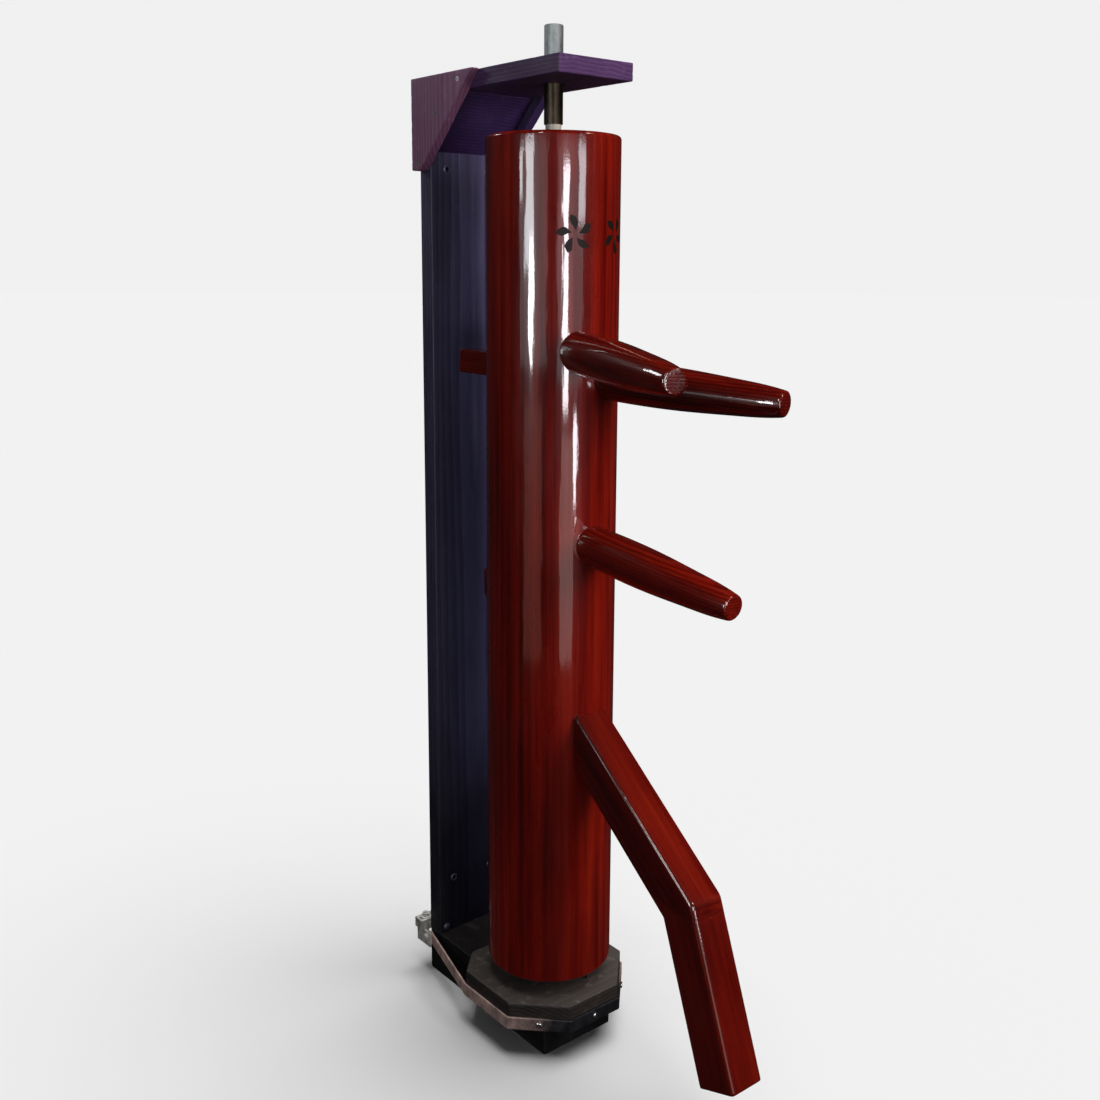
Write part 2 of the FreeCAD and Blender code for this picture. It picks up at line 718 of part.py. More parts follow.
def make_fitting_bolts():
    """Hex bolts: two up through the channel slots, two across through the strap ends."""
    low = size("channel_base")
    top = low + size("channel_height")
    bolts = []
    nuts = []
    for number, side in enumerate((-1, 1)):
        under = Vector(side * HANGER_X, HANGER_Y, low - BRACKET_PLATE)
        head = prism("hanger_head_%d" % number, HEX_RADIUS, HEX_HEAD, under - Vector(0, 0, HEX_HEAD), UPRIGHT)
        shank = plain_hole("hanger_shank_%d" % number, BOLT_RADIUS, top - under.z + 11, under, UPRIGHT)
        bolts.append(grouped("MultiFuse", "hanger_bolt_%d" % number, [head, shank]))
        seat = Vector(under.x, under.y, top)
        washer = plain_hole("hanger_washer_%d" % number, FLAT_WASHER_RADIUS, FLAT_WASHER, seat, UPRIGHT)
        nut = prism("hanger_nut_%d" % number, HEX_RADIUS, HANGER_NUT, seat, UPRIGHT)
        bore = plain_hole("hanger_bore_%d" % number, BOLT_RADIUS + HOLE_GAP, 20,
                          Vector(under.x, under.y, top - 1), UPRIGHT)
        both = grouped("MultiFuse", "hanger_nut_washer_%d" % number, [washer, nut])
        nuts.append(boolean("Cut", "hanger_nut_cut_%d" % number, both, bore))

        outward = ALONG_X if side > 0 else ALONG_MINUS_X
        inward = ALONG_MINUS_X if side > 0 else ALONG_X
        face = Vector(side * (TAB_X + BRACKET_LEG), TIE_Y, strap_middle)
        head = prism("tie_head_%d" % number, HEX_RADIUS, HEX_HEAD, face, outward)
        shank = plain_hole("tie_shank_%d" % number, BOLT_RADIUS, 15, face, inward)
        bolts.append(grouped("MultiFuse", "tie_bolt_%d" % number, [head, shank]))
        back = Vector(side * (TAB_X - size("strap_thick")), TIE_Y, strap_middle)
        nut = prism("tie_nut_%d" % number, HEX_RADIUS, TIE_NUT, back, inward)
        bore = plain_hole("tie_nut_bore_%d" % number, BOLT_RADIUS + HOLE_GAP, 20,
                          back + Vector(side * 5, 0, 0), inward)
        nuts.append(boolean("Cut", "tie_nut_cut_%d" % number, nut, bore))
    keep(grouped("Compound", "fitting_bolts_set", bolts), "fitting_bolts")
    keep(grouped("Compound", "fitting_nuts_set", nuts), "fitting_nuts")


# ---------------------------------------------------------------- pivots above and below the trunk
FLANGE_RADIUS = 48.0
HUB_RADIUS = 24.0
WASHER_RADIUS = 33.0
BOTTOM_PIPE_RISE = 90
BOTTOM_PIPE_WALL = 2.5
BUSH_RIM_RADIUS = 35.0
PIPE_CLEARANCE_RADIUS = 18.0
BUSH_OUTER = 21.0
BUSH_RISE = 70
TOP_ROD_DEPTH = 110


def turned(name, outline):
    """Solid turned about Z from a closed outline of (radius, height) points."""
    body = new_body(name)
    sketch = new_sketch(body, name + "_outline", "XZ_Plane")
    draw_polygon(sketch, outline)
    feature = body.newObject("PartDesign::Revolution", name + "_turning")
    feature.Profile = sketch
    feature.ReferenceAxis = (sketch, ["V_Axis"])
    feature.Angle = 360
    body.Tip = feature
    doc.recompute()
    return body


def make_floor_flange():
    bore = size("pipe_radius") + size("running_gap")
    low = size("block_top")
    high = low + size("flange_height")
    plate = low + FLANGE_PLATE
    outline = [
        (bore, low), (FLANGE_RADIUS, low), (FLANGE_RADIUS, plate), (HUB_RADIUS + 2, plate),
        (HUB_RADIUS, plate + 3), (HUB_RADIUS, high), (bore, high),
    ]
    drilled("floor_flange", turned("flange_blank", outline), flange_holes("flange"))


def make_bottom_pivot():
    outer = size("pipe_radius")
    low = size("block_top")
    high = size("trunk_base") + BOTTOM_PIPE_RISE
    inner = outer - BOTTOM_PIPE_WALL
    outline = [(inner, low), (outer, low), (outer, high - 2), (outer - 1.5, high), (inner, high)]
    keep(turned("bottom_pipe_body", outline), "bottom_pivot_pipe")


def make_thrust_washer():
    low = size("block_top") + size("flange_height")
    high = low + size("washer_thick")
    inner = size("pipe_radius") + 0.5
    outline = [(inner, low), (WASHER_RADIUS, low), (WASHER_RADIUS, high), (inner, high)]
    keep(turned("washer_body", outline), "thrust_washer")


def make_bottom_bush():
    """Nylon bush pressed into the trunk; its rim carries the trunk on the washer."""
    inner = size("pipe_radius") + size("running_gap")
    low = size("trunk_base") - size("bush_rim")
    base = size("trunk_base")
    rim = BUSH_RIM_RADIUS
    outline = [(inner, low), (rim - 1, low), (rim, low + 1), (rim, base), (BUSH_OUTER, base),
               (BUSH_OUTER, base + BUSH_RISE), (inner, base + BUSH_RISE)]
    keep(turned("bottom_bush_body", outline), "bottom_bush")


def make_top_pivot():
    """Steel rod in the trunk, nylon sleeve on the rod, and the pipe that drops over the sleeve."""
    rod = size("rod_radius")
    sleeve = size("sleeve_radius")
    base = size("trunk_top")
    tip = base + size("sleeve_height")
    foot = base - TOP_ROD_DEPTH
    outline = [(0, foot), (rod, foot), (rod, tip - 2), (rod - 2, tip), (0, tip)]
    keep(turned("top_rod_body", outline), "top_rod")
    bore = rod + size("running_gap")
    outline = [(bore, base), (sleeve, base), (sleeve, tip - 6), (sleeve - 2, tip - 3), (bore, tip - 3)]
    keep(turned("top_sleeve_body", outline), "top_sleeve")
    inner = sleeve + size("running_gap")
    outer = size("pipe_radius")
    low = base + size("pipe_gap")
    high = size("shelf_top") + size("pipe_above_shelf")
    outline = [(inner, low + 1), (inner + 1, low), (outer - 0.8, low), (outer, low + 0.8),
               (outer, high - 1), (outer - 1, high), (inner + 0.5, high), (inner, high - 0.5)]
    keep(turned("top_pipe_body", outline), "top_pivot_pipe")


# ---------------------------------------------------------------- arms, leg and their pegs
def limb_frame(splay, droop, height):
    """Local +X runs outward along the limb, local Z stays nearly up."""
    turn = Rotation(Vector(0, 0, 1), splay - 90) * Rotation(Vector(0, 1, 0), droop)
    return Placement(Vector(0, 0, height), turn)


ARMS = [
    ("upper_arm_right", -size("upper_splay"), size("upper_droop"), size("right_arm_height"), "upper_tail"),
    ("upper_arm_left", size("upper_splay"), size("upper_droop"), size("left_arm_height"), "upper_tail"),
    ("lower_arm", 0.0, size("lower_droop"), size("lower_arm_height"), "lower_tail"),
]
PEG_HEAD_HEIGHT = 8.0
PEG_STICK_OUT = 13.0
TIP_ROUND = 4.0
KNEE_ROUND = 24.0
LEG_EDGE_ROUND = 8.0


def centred_bar(name, start, length, formula, across, frame):
    """Square bar along local X, centred on the limb's axis; the formula gives its side."""
    bar = doc.addObject("Part::Box", name)
    bind(bar, "Width", formula)
    bind(bar, "Height", formula)
    bar.Length = length
    half = across / 2
    bar.Placement = frame.multiply(Placement(Vector(start, -half, -half), Rotation()))
    return bar


def arm_profile(body, name):
    """Barrel shaped half outline, turned about the local X axis."""
    trunk = size("trunk_radius")
    end = trunk + size("arm_reach")
    swell = [(trunk - 40, 33.5), (trunk + 10, 35.0), (trunk + 80, 36.0), (trunk + 160, 34.2),
             (trunk + 240, 29.5), (trunk + 285, 26.3), (end - TIP_ROUND, 21.5)]
    start = swell[0]
    tip_radius = swell[-1][1] - TIP_ROUND
    sketch = new_sketch(body, name + "_outline", "XY_Plane")
    curve = Part.BSplineCurve()
    curve.interpolate([Vector(x, y, 0) for x, y in swell])
    quarter = math.sqrt(0.5) * TIP_ROUND
    rounding = Part.Arc(Vector(end - TIP_ROUND, tip_radius + TIP_ROUND, 0),
                        Vector(end - TIP_ROUND + quarter, tip_radius + quarter, 0),
                        Vector(end, tip_radius, 0))
    sketch.addGeometry(curve)
    sketch.addGeometry(rounding)
    sketch.addGeometry(Part.LineSegment(Vector(end, tip_radius, 0), Vector(end, 0, 0)))
    sketch.addGeometry(Part.LineSegment(Vector(end, 0, 0), Vector(start[0], 0, 0)))
    sketch.addGeometry(Part.LineSegment(Vector(start[0], 0, 0), Vector(start[0], start[1], 0)))
    feature = body.newObject("PartDesign::Revolution", name + "_turning")
    feature.Profile = sketch
    feature.ReferenceAxis = (sketch, ["H_Axis"])
    feature.Angle = 360
    body.Tip = feature
    doc.recompute()


def make_arm(label, splay, droop, height, tail):
    """Turned club outside the trunk, square tenon through it, peg hole in the tail."""
    frame = limb_frame(splay, droop, height)
    body = new_body(label + "_club")
    arm_profile(body, label)
    body.Placement = frame
    scribe = cylinder(label + "_scribe", "trunk_radius + shoulder_gap", "400", Vector(0, 0, height - 200))
    club = boolean("Cut", label + "_scribed", body, scribe)
    bar = centred_bar(label + "_bar", -size(tail), size(tail) + size("trunk_radius") + 60,
                      "tenon", size("tenon"), frame)
    bevel = doc.addObject("Part::Chamfer", label + "_tenon")
    doc.recompute()
    bevel.Base = bar
    along = frame.Rotation.multVec(Vector(1, 0, 0))
    bevel.Edges = [(n, 1.5, 1.5) for n, edge in enumerate(bar.Shape.Edges, start=1)
                   if abs(abs(edge.Curve.Direction.dot(along)) - 1) < 1e-6]
    whole = grouped("MultiFuse", label + "_whole", [club, bevel])
    hole = cylinder(label + "_peg_hole", "peg_radius + running_gap", "tenon + 20")
    seat = peg_seat(frame, splay, droop)
    hole.Placement = seat.multiply(Placement(Vector(0, 0, -size("tenon") / 2 - 10), Rotation()))
    keep(boolean("Cut", label + "_drilled", whole, hole), label)
    slope = math.radians(droop)
    lift = size("peg_head_radius") * math.tan(slope) + size("tenon") / 2 * (1 / math.cos(slope) - 1)
    make_peg(label.replace("arm", "peg"), seat.multiply(Placement(Vector(0, 0, lift), Rotation())))


def peg_seat(frame, splay, droop):
    """Upright line through the tail, just far enough back for the limb's play to end on the peg."""
    along = -size("peg_back") / math.cos(math.radians(droop))
    return Placement(frame.multVec(Vector(along, 0, 0)), Rotation(Vector(0, 0, 1), splay - 90))


def make_peg(label, placement):
    """Hardwood peg through the tail, resting on its head; local Z runs up through the head."""
    half = size("tenon") / 2
    shaft = size("peg_radius")
    head = size("peg_head_radius")
    outline = [
        (0, -half - PEG_STICK_OUT), (shaft - 1.5, -half - PEG_STICK_OUT), (shaft, -half - PEG_STICK_OUT + 3),
        (shaft, half), (head - 1, half), (head, half + 1),
        (head, half + PEG_HEAD_HEIGHT - 3), (head - 3, half + PEG_HEAD_HEIGHT),
        (0, half + PEG_HEAD_HEIGHT),
    ]
    body = turned(label + "_body", outline)
    body.Placement = placement
    keep(body, label)


LEG_TURN = Placement(Vector(0, 0, 0), Rotation(Vector(0, 0, 1), size("leg_yaw")))
leg_rad = math.radians(size("leg_slope"))
shin_rad = math.radians(size("shin_slope"))


def leg_centre(reach):
    """Height of the middle of the upper leg bar at a distance in front of the axis."""
    middle_at_entry = size("leg_entry") - size("leg_depth") / 2 / math.cos(leg_rad)
    return middle_at_entry + (size("trunk_radius") - reach) * math.tan(leg_rad)


def sloping_bar(name, front, back, depth, width_formula):
    """Bar on the leg's slope with upright ends, reaching from front to back of the axis."""
    half = depth / 2 / math.cos(leg_rad)
    outline = [
        (-front, leg_centre(front) - half), (-front, leg_centre(front) + half),
        (-back, leg_centre(back) + half), (-back, leg_centre(back) - half),
    ]
    body = new_body(name)
    sketch = new_sketch(body, name + "_outline", "YZ_Plane")
    draw_polygon(sketch, outline)
    pad(body, sketch, width_formula, midplane=True)
    return body


def make_leg():
    """Bent leg sawn from one plank, with its own sloping tenon and a sideways peg."""
    depth = size("leg_depth")
    entry = size("trunk_radius")
    start = 60.0
    thigh = size("thigh_length")
    shin = size("shin_length")
    thigh_way = (math.cos(leg_rad), -math.sin(leg_rad))
    shin_way = (math.cos(shin_rad), -math.sin(shin_rad))
    rise = (entry - start) * math.tan(leg_rad)
    top = (start, size("leg_entry") + rise)
    knee = (entry + thigh * thigh_way[0], size("leg_entry") + thigh * thigh_way[1])
    foot = (knee[0] + shin * shin_way[0], knee[1] + shin * shin_way[1])
    heel = (foot[0] + depth * shin_way[1], foot[1] - depth * shin_way[0])
    half_bend = (shin_rad - leg_rad) / 2
    mitre = (shin_rad + leg_rad) / 2
    inner_length = depth / math.cos(half_bend)
    hollow = (knee[0] - inner_length * math.sin(mitre), knee[1] - inner_length * math.cos(mitre))
    bottom = (start, top[1] - depth / math.cos(leg_rad))
    outline = [(-q, z) for q, z in (top, knee, foot, heel, hollow, bottom)]
    body = new_body("leg_blank")
    sketch = new_sketch(body, "leg_outline", "YZ_Plane")
    draw_polygon(sketch, outline)
    pad(body, sketch, "leg_width", midplane=True)

    def long_edge(edge):
        return abs(edge.BoundBox.XLength) < 1e-6 and edge.Length > 200

    def knee_edge(edge):
        box = edge.BoundBox
        return box.XLength > 1 and abs(box.YMax + knee[0]) < 1e-3 and abs(box.ZMax - knee[1]) < 1e-3

    ease(body, "Fillet", KNEE_ROUND, knee_edge)
    ease(body, "Fillet", LEG_EDGE_ROUND, long_edge)
    scribe = cylinder("leg_scribe", "trunk_radius + shoulder_gap", "700", Vector(0, 0, 400))
    bar = boolean("Cut", "leg_scribed", body, scribe)
    tail = sloping_bar("leg_tenon_bar", size("trunk_radius") + 40, -size("leg_tail_reach"),
                       size("leg_tenon"), "tenon")
    whole = grouped("MultiFuse", "leg_whole", [bar, tail])
    spot = Vector(0, size("leg_peg_back"), leg_centre(-size("leg_peg_back")))
    hole = cylinder("leg_peg_hole", "peg_radius + running_gap", "tenon + 20",
                    spot - Vector(size("tenon") / 2 + 10, 0, 0), ALONG_X)
    leg = keep(boolean("Cut", "leg_drilled", whole, hole), "leg")
    leg.Placement = LEG_TURN
    make_peg("leg_peg", LEG_TURN.multiply(Placement(spot, ALONG_MINUS_X)))


# ---------------------------------------------------------------- trunk
def make_trunk():
    body = new_body("trunk_log")
    sketch = new_sketch(body, "trunk_circle", "XY_Plane")
    draw_circle(sketch, 0, 0, size("trunk_radius"))
    sketch.addConstraint(Sketcher.Constraint("Radius", 0, size("trunk_radius")))
    bind(sketch, "Constraints[0]", "trunk_radius")
    pad(body, sketch, "trunk_height")
    ease(body, "Fillet", size("rim_round"), lambda edge: isinstance(edge.Curve, Part.Circle))
    body.Placement.Base.z = size("trunk_base")
    cuts = []
    for label, splay, droop, height, tail in ARMS:
        frame = limb_frame(splay, droop, height)
        cuts.append(centred_bar(label + "_mortise", -180, 360, "tenon + 2 * mortise_gap",
                                size("tenon") + 2 * size("mortise_gap"), frame))
    leg_mortise = sloping_bar("leg_mortise", 180, -180, size("leg_tenon") + 2 * size("mortise_gap"),
                              "tenon + 2 * mortise_gap")
    leg_mortise.Placement = LEG_TURN
    cuts.append(leg_mortise)
    below_base = Vector(0, 0, size("trunk_base") - 1)
    cuts.append(plain_hole("bush_seat", BUSH_OUTER, BUSH_RISE + 1, below_base, UPRIGHT))
    cuts.append(plain_hole("pipe_clearance", PIPE_CLEARANCE_RADIUS, BOTTOM_PIPE_RISE + 20,
                           Vector(0, 0, size("trunk_base")), UPRIGHT))
    cuts.append(cylinder("rod_seat", "rod_radius", "200", Vector(0, 0, size("trunk_top") - TOP_ROD_DEPTH)))
    drilled("trunk", body, cuts)


# ---------------------------------------------------------------- build everything
make_base_beam()
make_octagon_block()
make_back_post()
make_top_shelf()
make_gusset("gusset_right", -1)
make_gusset("gusset_left", 1)
make_brace()
make_wall_washers()
make_channel()
make_channel_bolts()
make_strap()
make_bracket("tie_bracket_right", -1)
make_bracket("tie_bracket_left", 1)
make_fitting_bolts()
make_floor_flange()
make_bottom_pivot()
make_thrust_washer()
make_bottom_bush()
make_top_pivot()
for arm in ARMS:
    make_arm(*arm)
make_leg()
make_trunk()
doc.recompute()

# ---------------------------------------------------------------- check and write
for feature in doc.Objects:
    if "Invalid" in feature.State or "Error" in feature.State:
        raise RuntimeError("%s is %s" % (feature.Name, feature.State))
os.makedirs("parts", exist_ok=True)
for feature in SUBPARTS:
    shape = feature.Shape
    if shape.isNull() or not shape.isValid() or shape.Volume <= 0:
        raise RuntimeError("bad shape: " + feature.Label)
    shape.exportStep("parts/%s.step" % feature.Label)
    box = shape.BoundBox
    span = (box.XMin, box.XMax, box.YMin, box.YMax, box.ZMin, box.ZMax)
    print("%-20s solids %2d  X %7.1f %7.1f  Y %7.1f %7.1f  Z %7.1f %7.1f  vol %.0f" % (
        (feature.Label, len(shape.Solids)) + span + (shape.Volume,)))
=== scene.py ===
import bmesh
import bpy
import json
import math
from mathutils import Matrix, Vector, noise


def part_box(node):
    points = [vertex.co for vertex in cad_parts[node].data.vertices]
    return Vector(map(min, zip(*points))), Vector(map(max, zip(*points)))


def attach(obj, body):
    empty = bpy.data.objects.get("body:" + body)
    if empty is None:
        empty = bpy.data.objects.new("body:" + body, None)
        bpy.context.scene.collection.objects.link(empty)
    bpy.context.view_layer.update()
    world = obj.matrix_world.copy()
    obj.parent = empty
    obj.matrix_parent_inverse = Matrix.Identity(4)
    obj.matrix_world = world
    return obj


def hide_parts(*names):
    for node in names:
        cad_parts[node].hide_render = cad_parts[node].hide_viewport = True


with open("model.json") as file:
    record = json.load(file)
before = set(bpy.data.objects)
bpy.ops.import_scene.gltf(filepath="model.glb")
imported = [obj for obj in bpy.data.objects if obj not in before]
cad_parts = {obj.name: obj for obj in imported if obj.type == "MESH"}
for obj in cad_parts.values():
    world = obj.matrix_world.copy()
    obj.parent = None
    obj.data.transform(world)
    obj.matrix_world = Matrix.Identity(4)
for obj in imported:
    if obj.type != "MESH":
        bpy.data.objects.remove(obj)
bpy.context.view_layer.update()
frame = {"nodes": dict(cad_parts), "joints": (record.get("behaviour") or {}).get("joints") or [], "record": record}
NODES = frame["nodes"]
NODE_BODY = {node: body for body, nodes in frame["record"]["behaviour"]["bodies"].items() for node in nodes}
MM = 0.001

# ---------------------------------------------------------------- camera
# Metres and degrees. The camera stands in front of the dummy and to its right, above its upper arms.
CAMERA_DISTANCE = 2.1064
CAMERA_AZIMUTH = -39.41
CAMERA_HEIGHT = 1.4273
CAMERA_YAW = 0.066
CAMERA_PITCH = 10.477
CAMERA_ROLL = 0.305
CAMERA_LENS = 39.56
CAMERA_SHIFT_DOWN = 0.0574
SENSOR_WIDTH = 36


def make_camera():
    azimuth = math.radians(CAMERA_AZIMUTH)
    data = bpy.data.cameras.new("camera")
    data.lens = CAMERA_LENS
    data.sensor_width = SENSOR_WIDTH
    data.shift_y = -CAMERA_SHIFT_DOWN
    camera = bpy.data.objects.new("camera", data)
    bpy.context.scene.collection.objects.link(camera)
    camera.location = (CAMERA_DISTANCE * math.sin(azimuth),
                       -CAMERA_DISTANCE * math.cos(azimuth),
                       CAMERA_HEIGHT)
    heading = azimuth + math.radians(CAMERA_YAW)
    pitch = math.radians(CAMERA_PITCH)
    forward = Vector((-math.sin(heading) * math.cos(pitch),
                      math.cos(heading) * math.cos(pitch),
                      -math.sin(pitch)))
    roll = Matrix.Rotation(math.radians(CAMERA_ROLL), 4, "Z")
    camera.matrix_world = (Matrix.Translation(camera.location)
                           @ forward.to_track_quat("-Z", "Y").to_matrix().to_4x4() @ roll)
    bpy.context.scene.camera = camera


# ---------------------------------------------------------------- light and floor
LIGHT_DISTANCE = 2.6
HIGHEST_AIM = 1.4
FLOOR_PAINT = 0.86
FLOOR_RADIUS = 60.0
DAYLIGHT = 3.05
DAYLIGHT_SPREAD = 50
DAYLIGHT_TILT = (8, 10)
# Roughly how much of the daylight the floor gets, tilted as it is.
DAYLIGHT_ON_FLOOR = 0.96
# How bright the room is to the colours, and to the gloss.
DIM = 0.085
DIM_IN_GLOSS = 0.012
# Each lamp: name, degrees round from the front, middle height, width, height, brightness, colour.
# These show in the gloss, as windows and lamps, and don't light the colours.
SHINES = [
    ("high_lamp_left", -92.0, 1.75, 0.30, 0.18, 12, (0.92, 0.96, 1.0)),
    ("window_left", -74.5, 1.28, 0.34, 0.46, 34, (0.94, 0.97, 1.0)),
    ("window_left_top", -78.0, 1.64, 0.60, 0.46, 13, (0.90, 0.95, 1.0)),
    ("high_window_front", 8.0, 1.71, 0.55, 0.28, 10, (0.93, 0.93, 1.0)),
    ("window_front", -18.0, 1.33, 0.44, 0.90, 24, (0.97, 0.95, 1.0)),
    ("low_window_front", 2.0, 0.70, 0.34, 0.34, 24, (0.97, 0.94, 1.0)),
    ("low_glow_front", -12.0, 0.34, 1.10, 0.90, 1.6, (1.0, 0.84, 0.80)),
    ("low_glow_left", -72.0, 0.40, 1.40, 1.00, 0.45, (1.0, 0.60, 0.50)),
    ("ceiling_lamp", 24.0, 3.10, 0.50, 0.50, 22, (1.0, 0.80, 0.62)),
    ("high_back_window", -150.0, 2.60, 0.60, 0.40, 14, (0.96, 0.97, 1.0)),
    ("overhead_strip", -60.0, 2.90, 0.25, 0.90, 26, (1.0, 0.93, 0.86)),
]
# Broad pale walls, each built up from nested panels so that its edges fade. From one panel to the next
# inside it, the width shrinks, and the height shrinks but for a fixed share.
BROAD = [
    ("broad_wall_left", -72.5, 1.46, 2.30, 0.84, 3.8, (1.0, 0.96, 0.98)),
    ("broad_wall_front", -9.0, 1.42, 2.10, 0.90, 4.2, (1.0, 0.91, 0.95)),
]
NESTED = 5
NEST_SHRINK = 0.8
NEST_FIXED_SHARE = 0.45
NEST_GAIN = 1.3
# These light the colours and don't show in the gloss.
FILLS = [
    ("key_front_right", 26.0, 1.95, 1.3, 1.7, 7.6, (1.0, 0.96, 0.93)),
    ("fill_left", -58.0, 1.80, 1.0, 1.2, 2.9, (0.95, 0.96, 1.0)),
    ("fill_back", 165.0, 1.70, 1.4, 1.6, 3.0, (0.97, 0.98, 1.0)),
]


def lamp(name, azimuth, height, width, tall, brightness, colour, shows, spared):
    data = bpy.data.lights.new(name, "AREA")
    data.shape = "RECTANGLE"
    data.size = width
    data.size_y = tall
    data.energy = brightness * math.pi * width * tall
    data.color = colour
    light = bpy.data.objects.new(name, data)
    bpy.context.scene.collection.objects.link(light)
    turn = math.radians(azimuth)
    light.location = (LIGHT_DISTANCE * math.sin(turn), -LIGHT_DISTANCE * math.cos(turn), height)
    aim = Vector((0, 0, min(height, HIGHEST_AIM))) - light.location
    light.rotation_euler = aim.to_track_quat("-Z", "Y").to_euler()
    light.visible_glossy = shows
    light.visible_diffuse = not shows
    light.light_linking.receiver_collection = spared


def make_studio(floor):
    spared = bpy.data.collections.new("not_lit_by_lamps")
    spared.objects.link(floor)
    spared.collection_objects[0].light_linking.link_state = "EXCLUDE"
    for settings in SHINES:
        lamp(*settings, True, spared)
    for settings in FILLS:
        lamp(*settings, False, spared)
    for name, azimuth, height, width, tall, brightness, colour in BROAD:
        for ring in range(NESTED):
            part = 1 - NEST_SHRINK * ring / NESTED
            part_tall = NEST_FIXED_SHARE + (1 - NEST_FIXED_SHARE) * part
            lamp("%s_%d" % (name, ring), azimuth, height, width * part, tall * part_tall,
                 brightness / NESTED * NEST_GAIN, colour, True, spared)
    data = bpy.data.lights.new("daylight", "SUN")
    data.energy = DAYLIGHT
    data.angle = math.radians(DAYLIGHT_SPREAD)
    sun = bpy.data.objects.new("daylight", data)
    bpy.context.scene.collection.objects.link(sun)
    sun.rotation_euler = (math.radians(DAYLIGHT_TILT[0]), math.radians(DAYLIGHT_TILT[1]), 0)
    sun.visible_glossy = False


def make_sky():
    """The camera sees nearly the floor's shade, and the object sees a dim room."""
    world = bpy.data.worlds.new("studio")
    world.use_nodes = True
    tree = world.node_tree
    ray = tree.nodes.new("ShaderNodeLightPath")
    shade = tree.nodes.new("ShaderNodeMix")
    shade.data_type = "RGBA"
    tree.links.new(ray.outputs["Is Camera Ray"], shade.inputs["Factor"])
    unseen = tree.nodes.new("ShaderNodeMix")
    unseen.data_type = "RGBA"
    tree.links.new(ray.outputs["Is Glossy Ray"], unseen.inputs["Factor"])
    unseen.inputs[6].default_value = (DIM, DIM, DIM, 1)
    unseen.inputs[7].default_value = (DIM_IN_GLOSS, DIM_IN_GLOSS, DIM_IN_GLOSS, 1)
    tree.links.new(unseen.outputs[2], shade.inputs[6])
    pale = FLOOR_PAINT * (DAYLIGHT * DAYLIGHT_ON_FLOOR / math.pi + DIM)
    shade.inputs[7].default_value = (pale, pale, pale, 1)
    tree.links.new(shade.outputs[2], tree.nodes["Background"].inputs["Color"])
    bpy.context.scene.world = world
    bpy.context.scene.view_settings.view_transform = "Standard"


def make_floor():
    """A wide flat floor that meets the sky in almost its own shade, so that the edge hardly shows."""
    mesh = bpy.data.meshes.new("floor")
    shape = bmesh.new()
    bmesh.ops.create_circle(shape, cap_ends=True, segments=96, radius=FLOOR_RADIUS)
    shape.to_mesh(mesh)
    shape.free()
    floor = bpy.data.objects.new("floor", mesh)
    bpy.context.scene.collection.objects.link(floor)
    material = bpy.data.materials.new("floor_paint")
    material.use_nodes = True
    shader = material.node_tree.nodes["Principled BSDF"]
    shader.inputs["Base Color"].default_value = (FLOOR_PAINT, FLOOR_PAINT, FLOOR_PAINT, 1)
    shader.inputs["Roughness"].default_value = 0.95
    shader.inputs["Specular IOR Level"].default_value = 0.0
    mesh.materials.append(material)
    floor.visible_glossy = False
    floor.visible_diffuse = False
    return floor


# ---------------------------------------------------------------- material kit
# Pale colour laid on upward faces: settled dust, and partly painted light on the tops.
SETTLED_DUST_AND_TOP_LIGHT = (0.150, 0.128, 0.116)
# A ramp runs from 0 to 1, so the heights in the painted light and shade by height are shares of this many metres.
PAINTED_LIGHT_SPAN = 2.0
GRAIN_BEND_BORDER = 6 * MM


def shade(colour, factor, lift=0.0):
    return tuple(min(1.0, factor * c + lift) for c in colour)


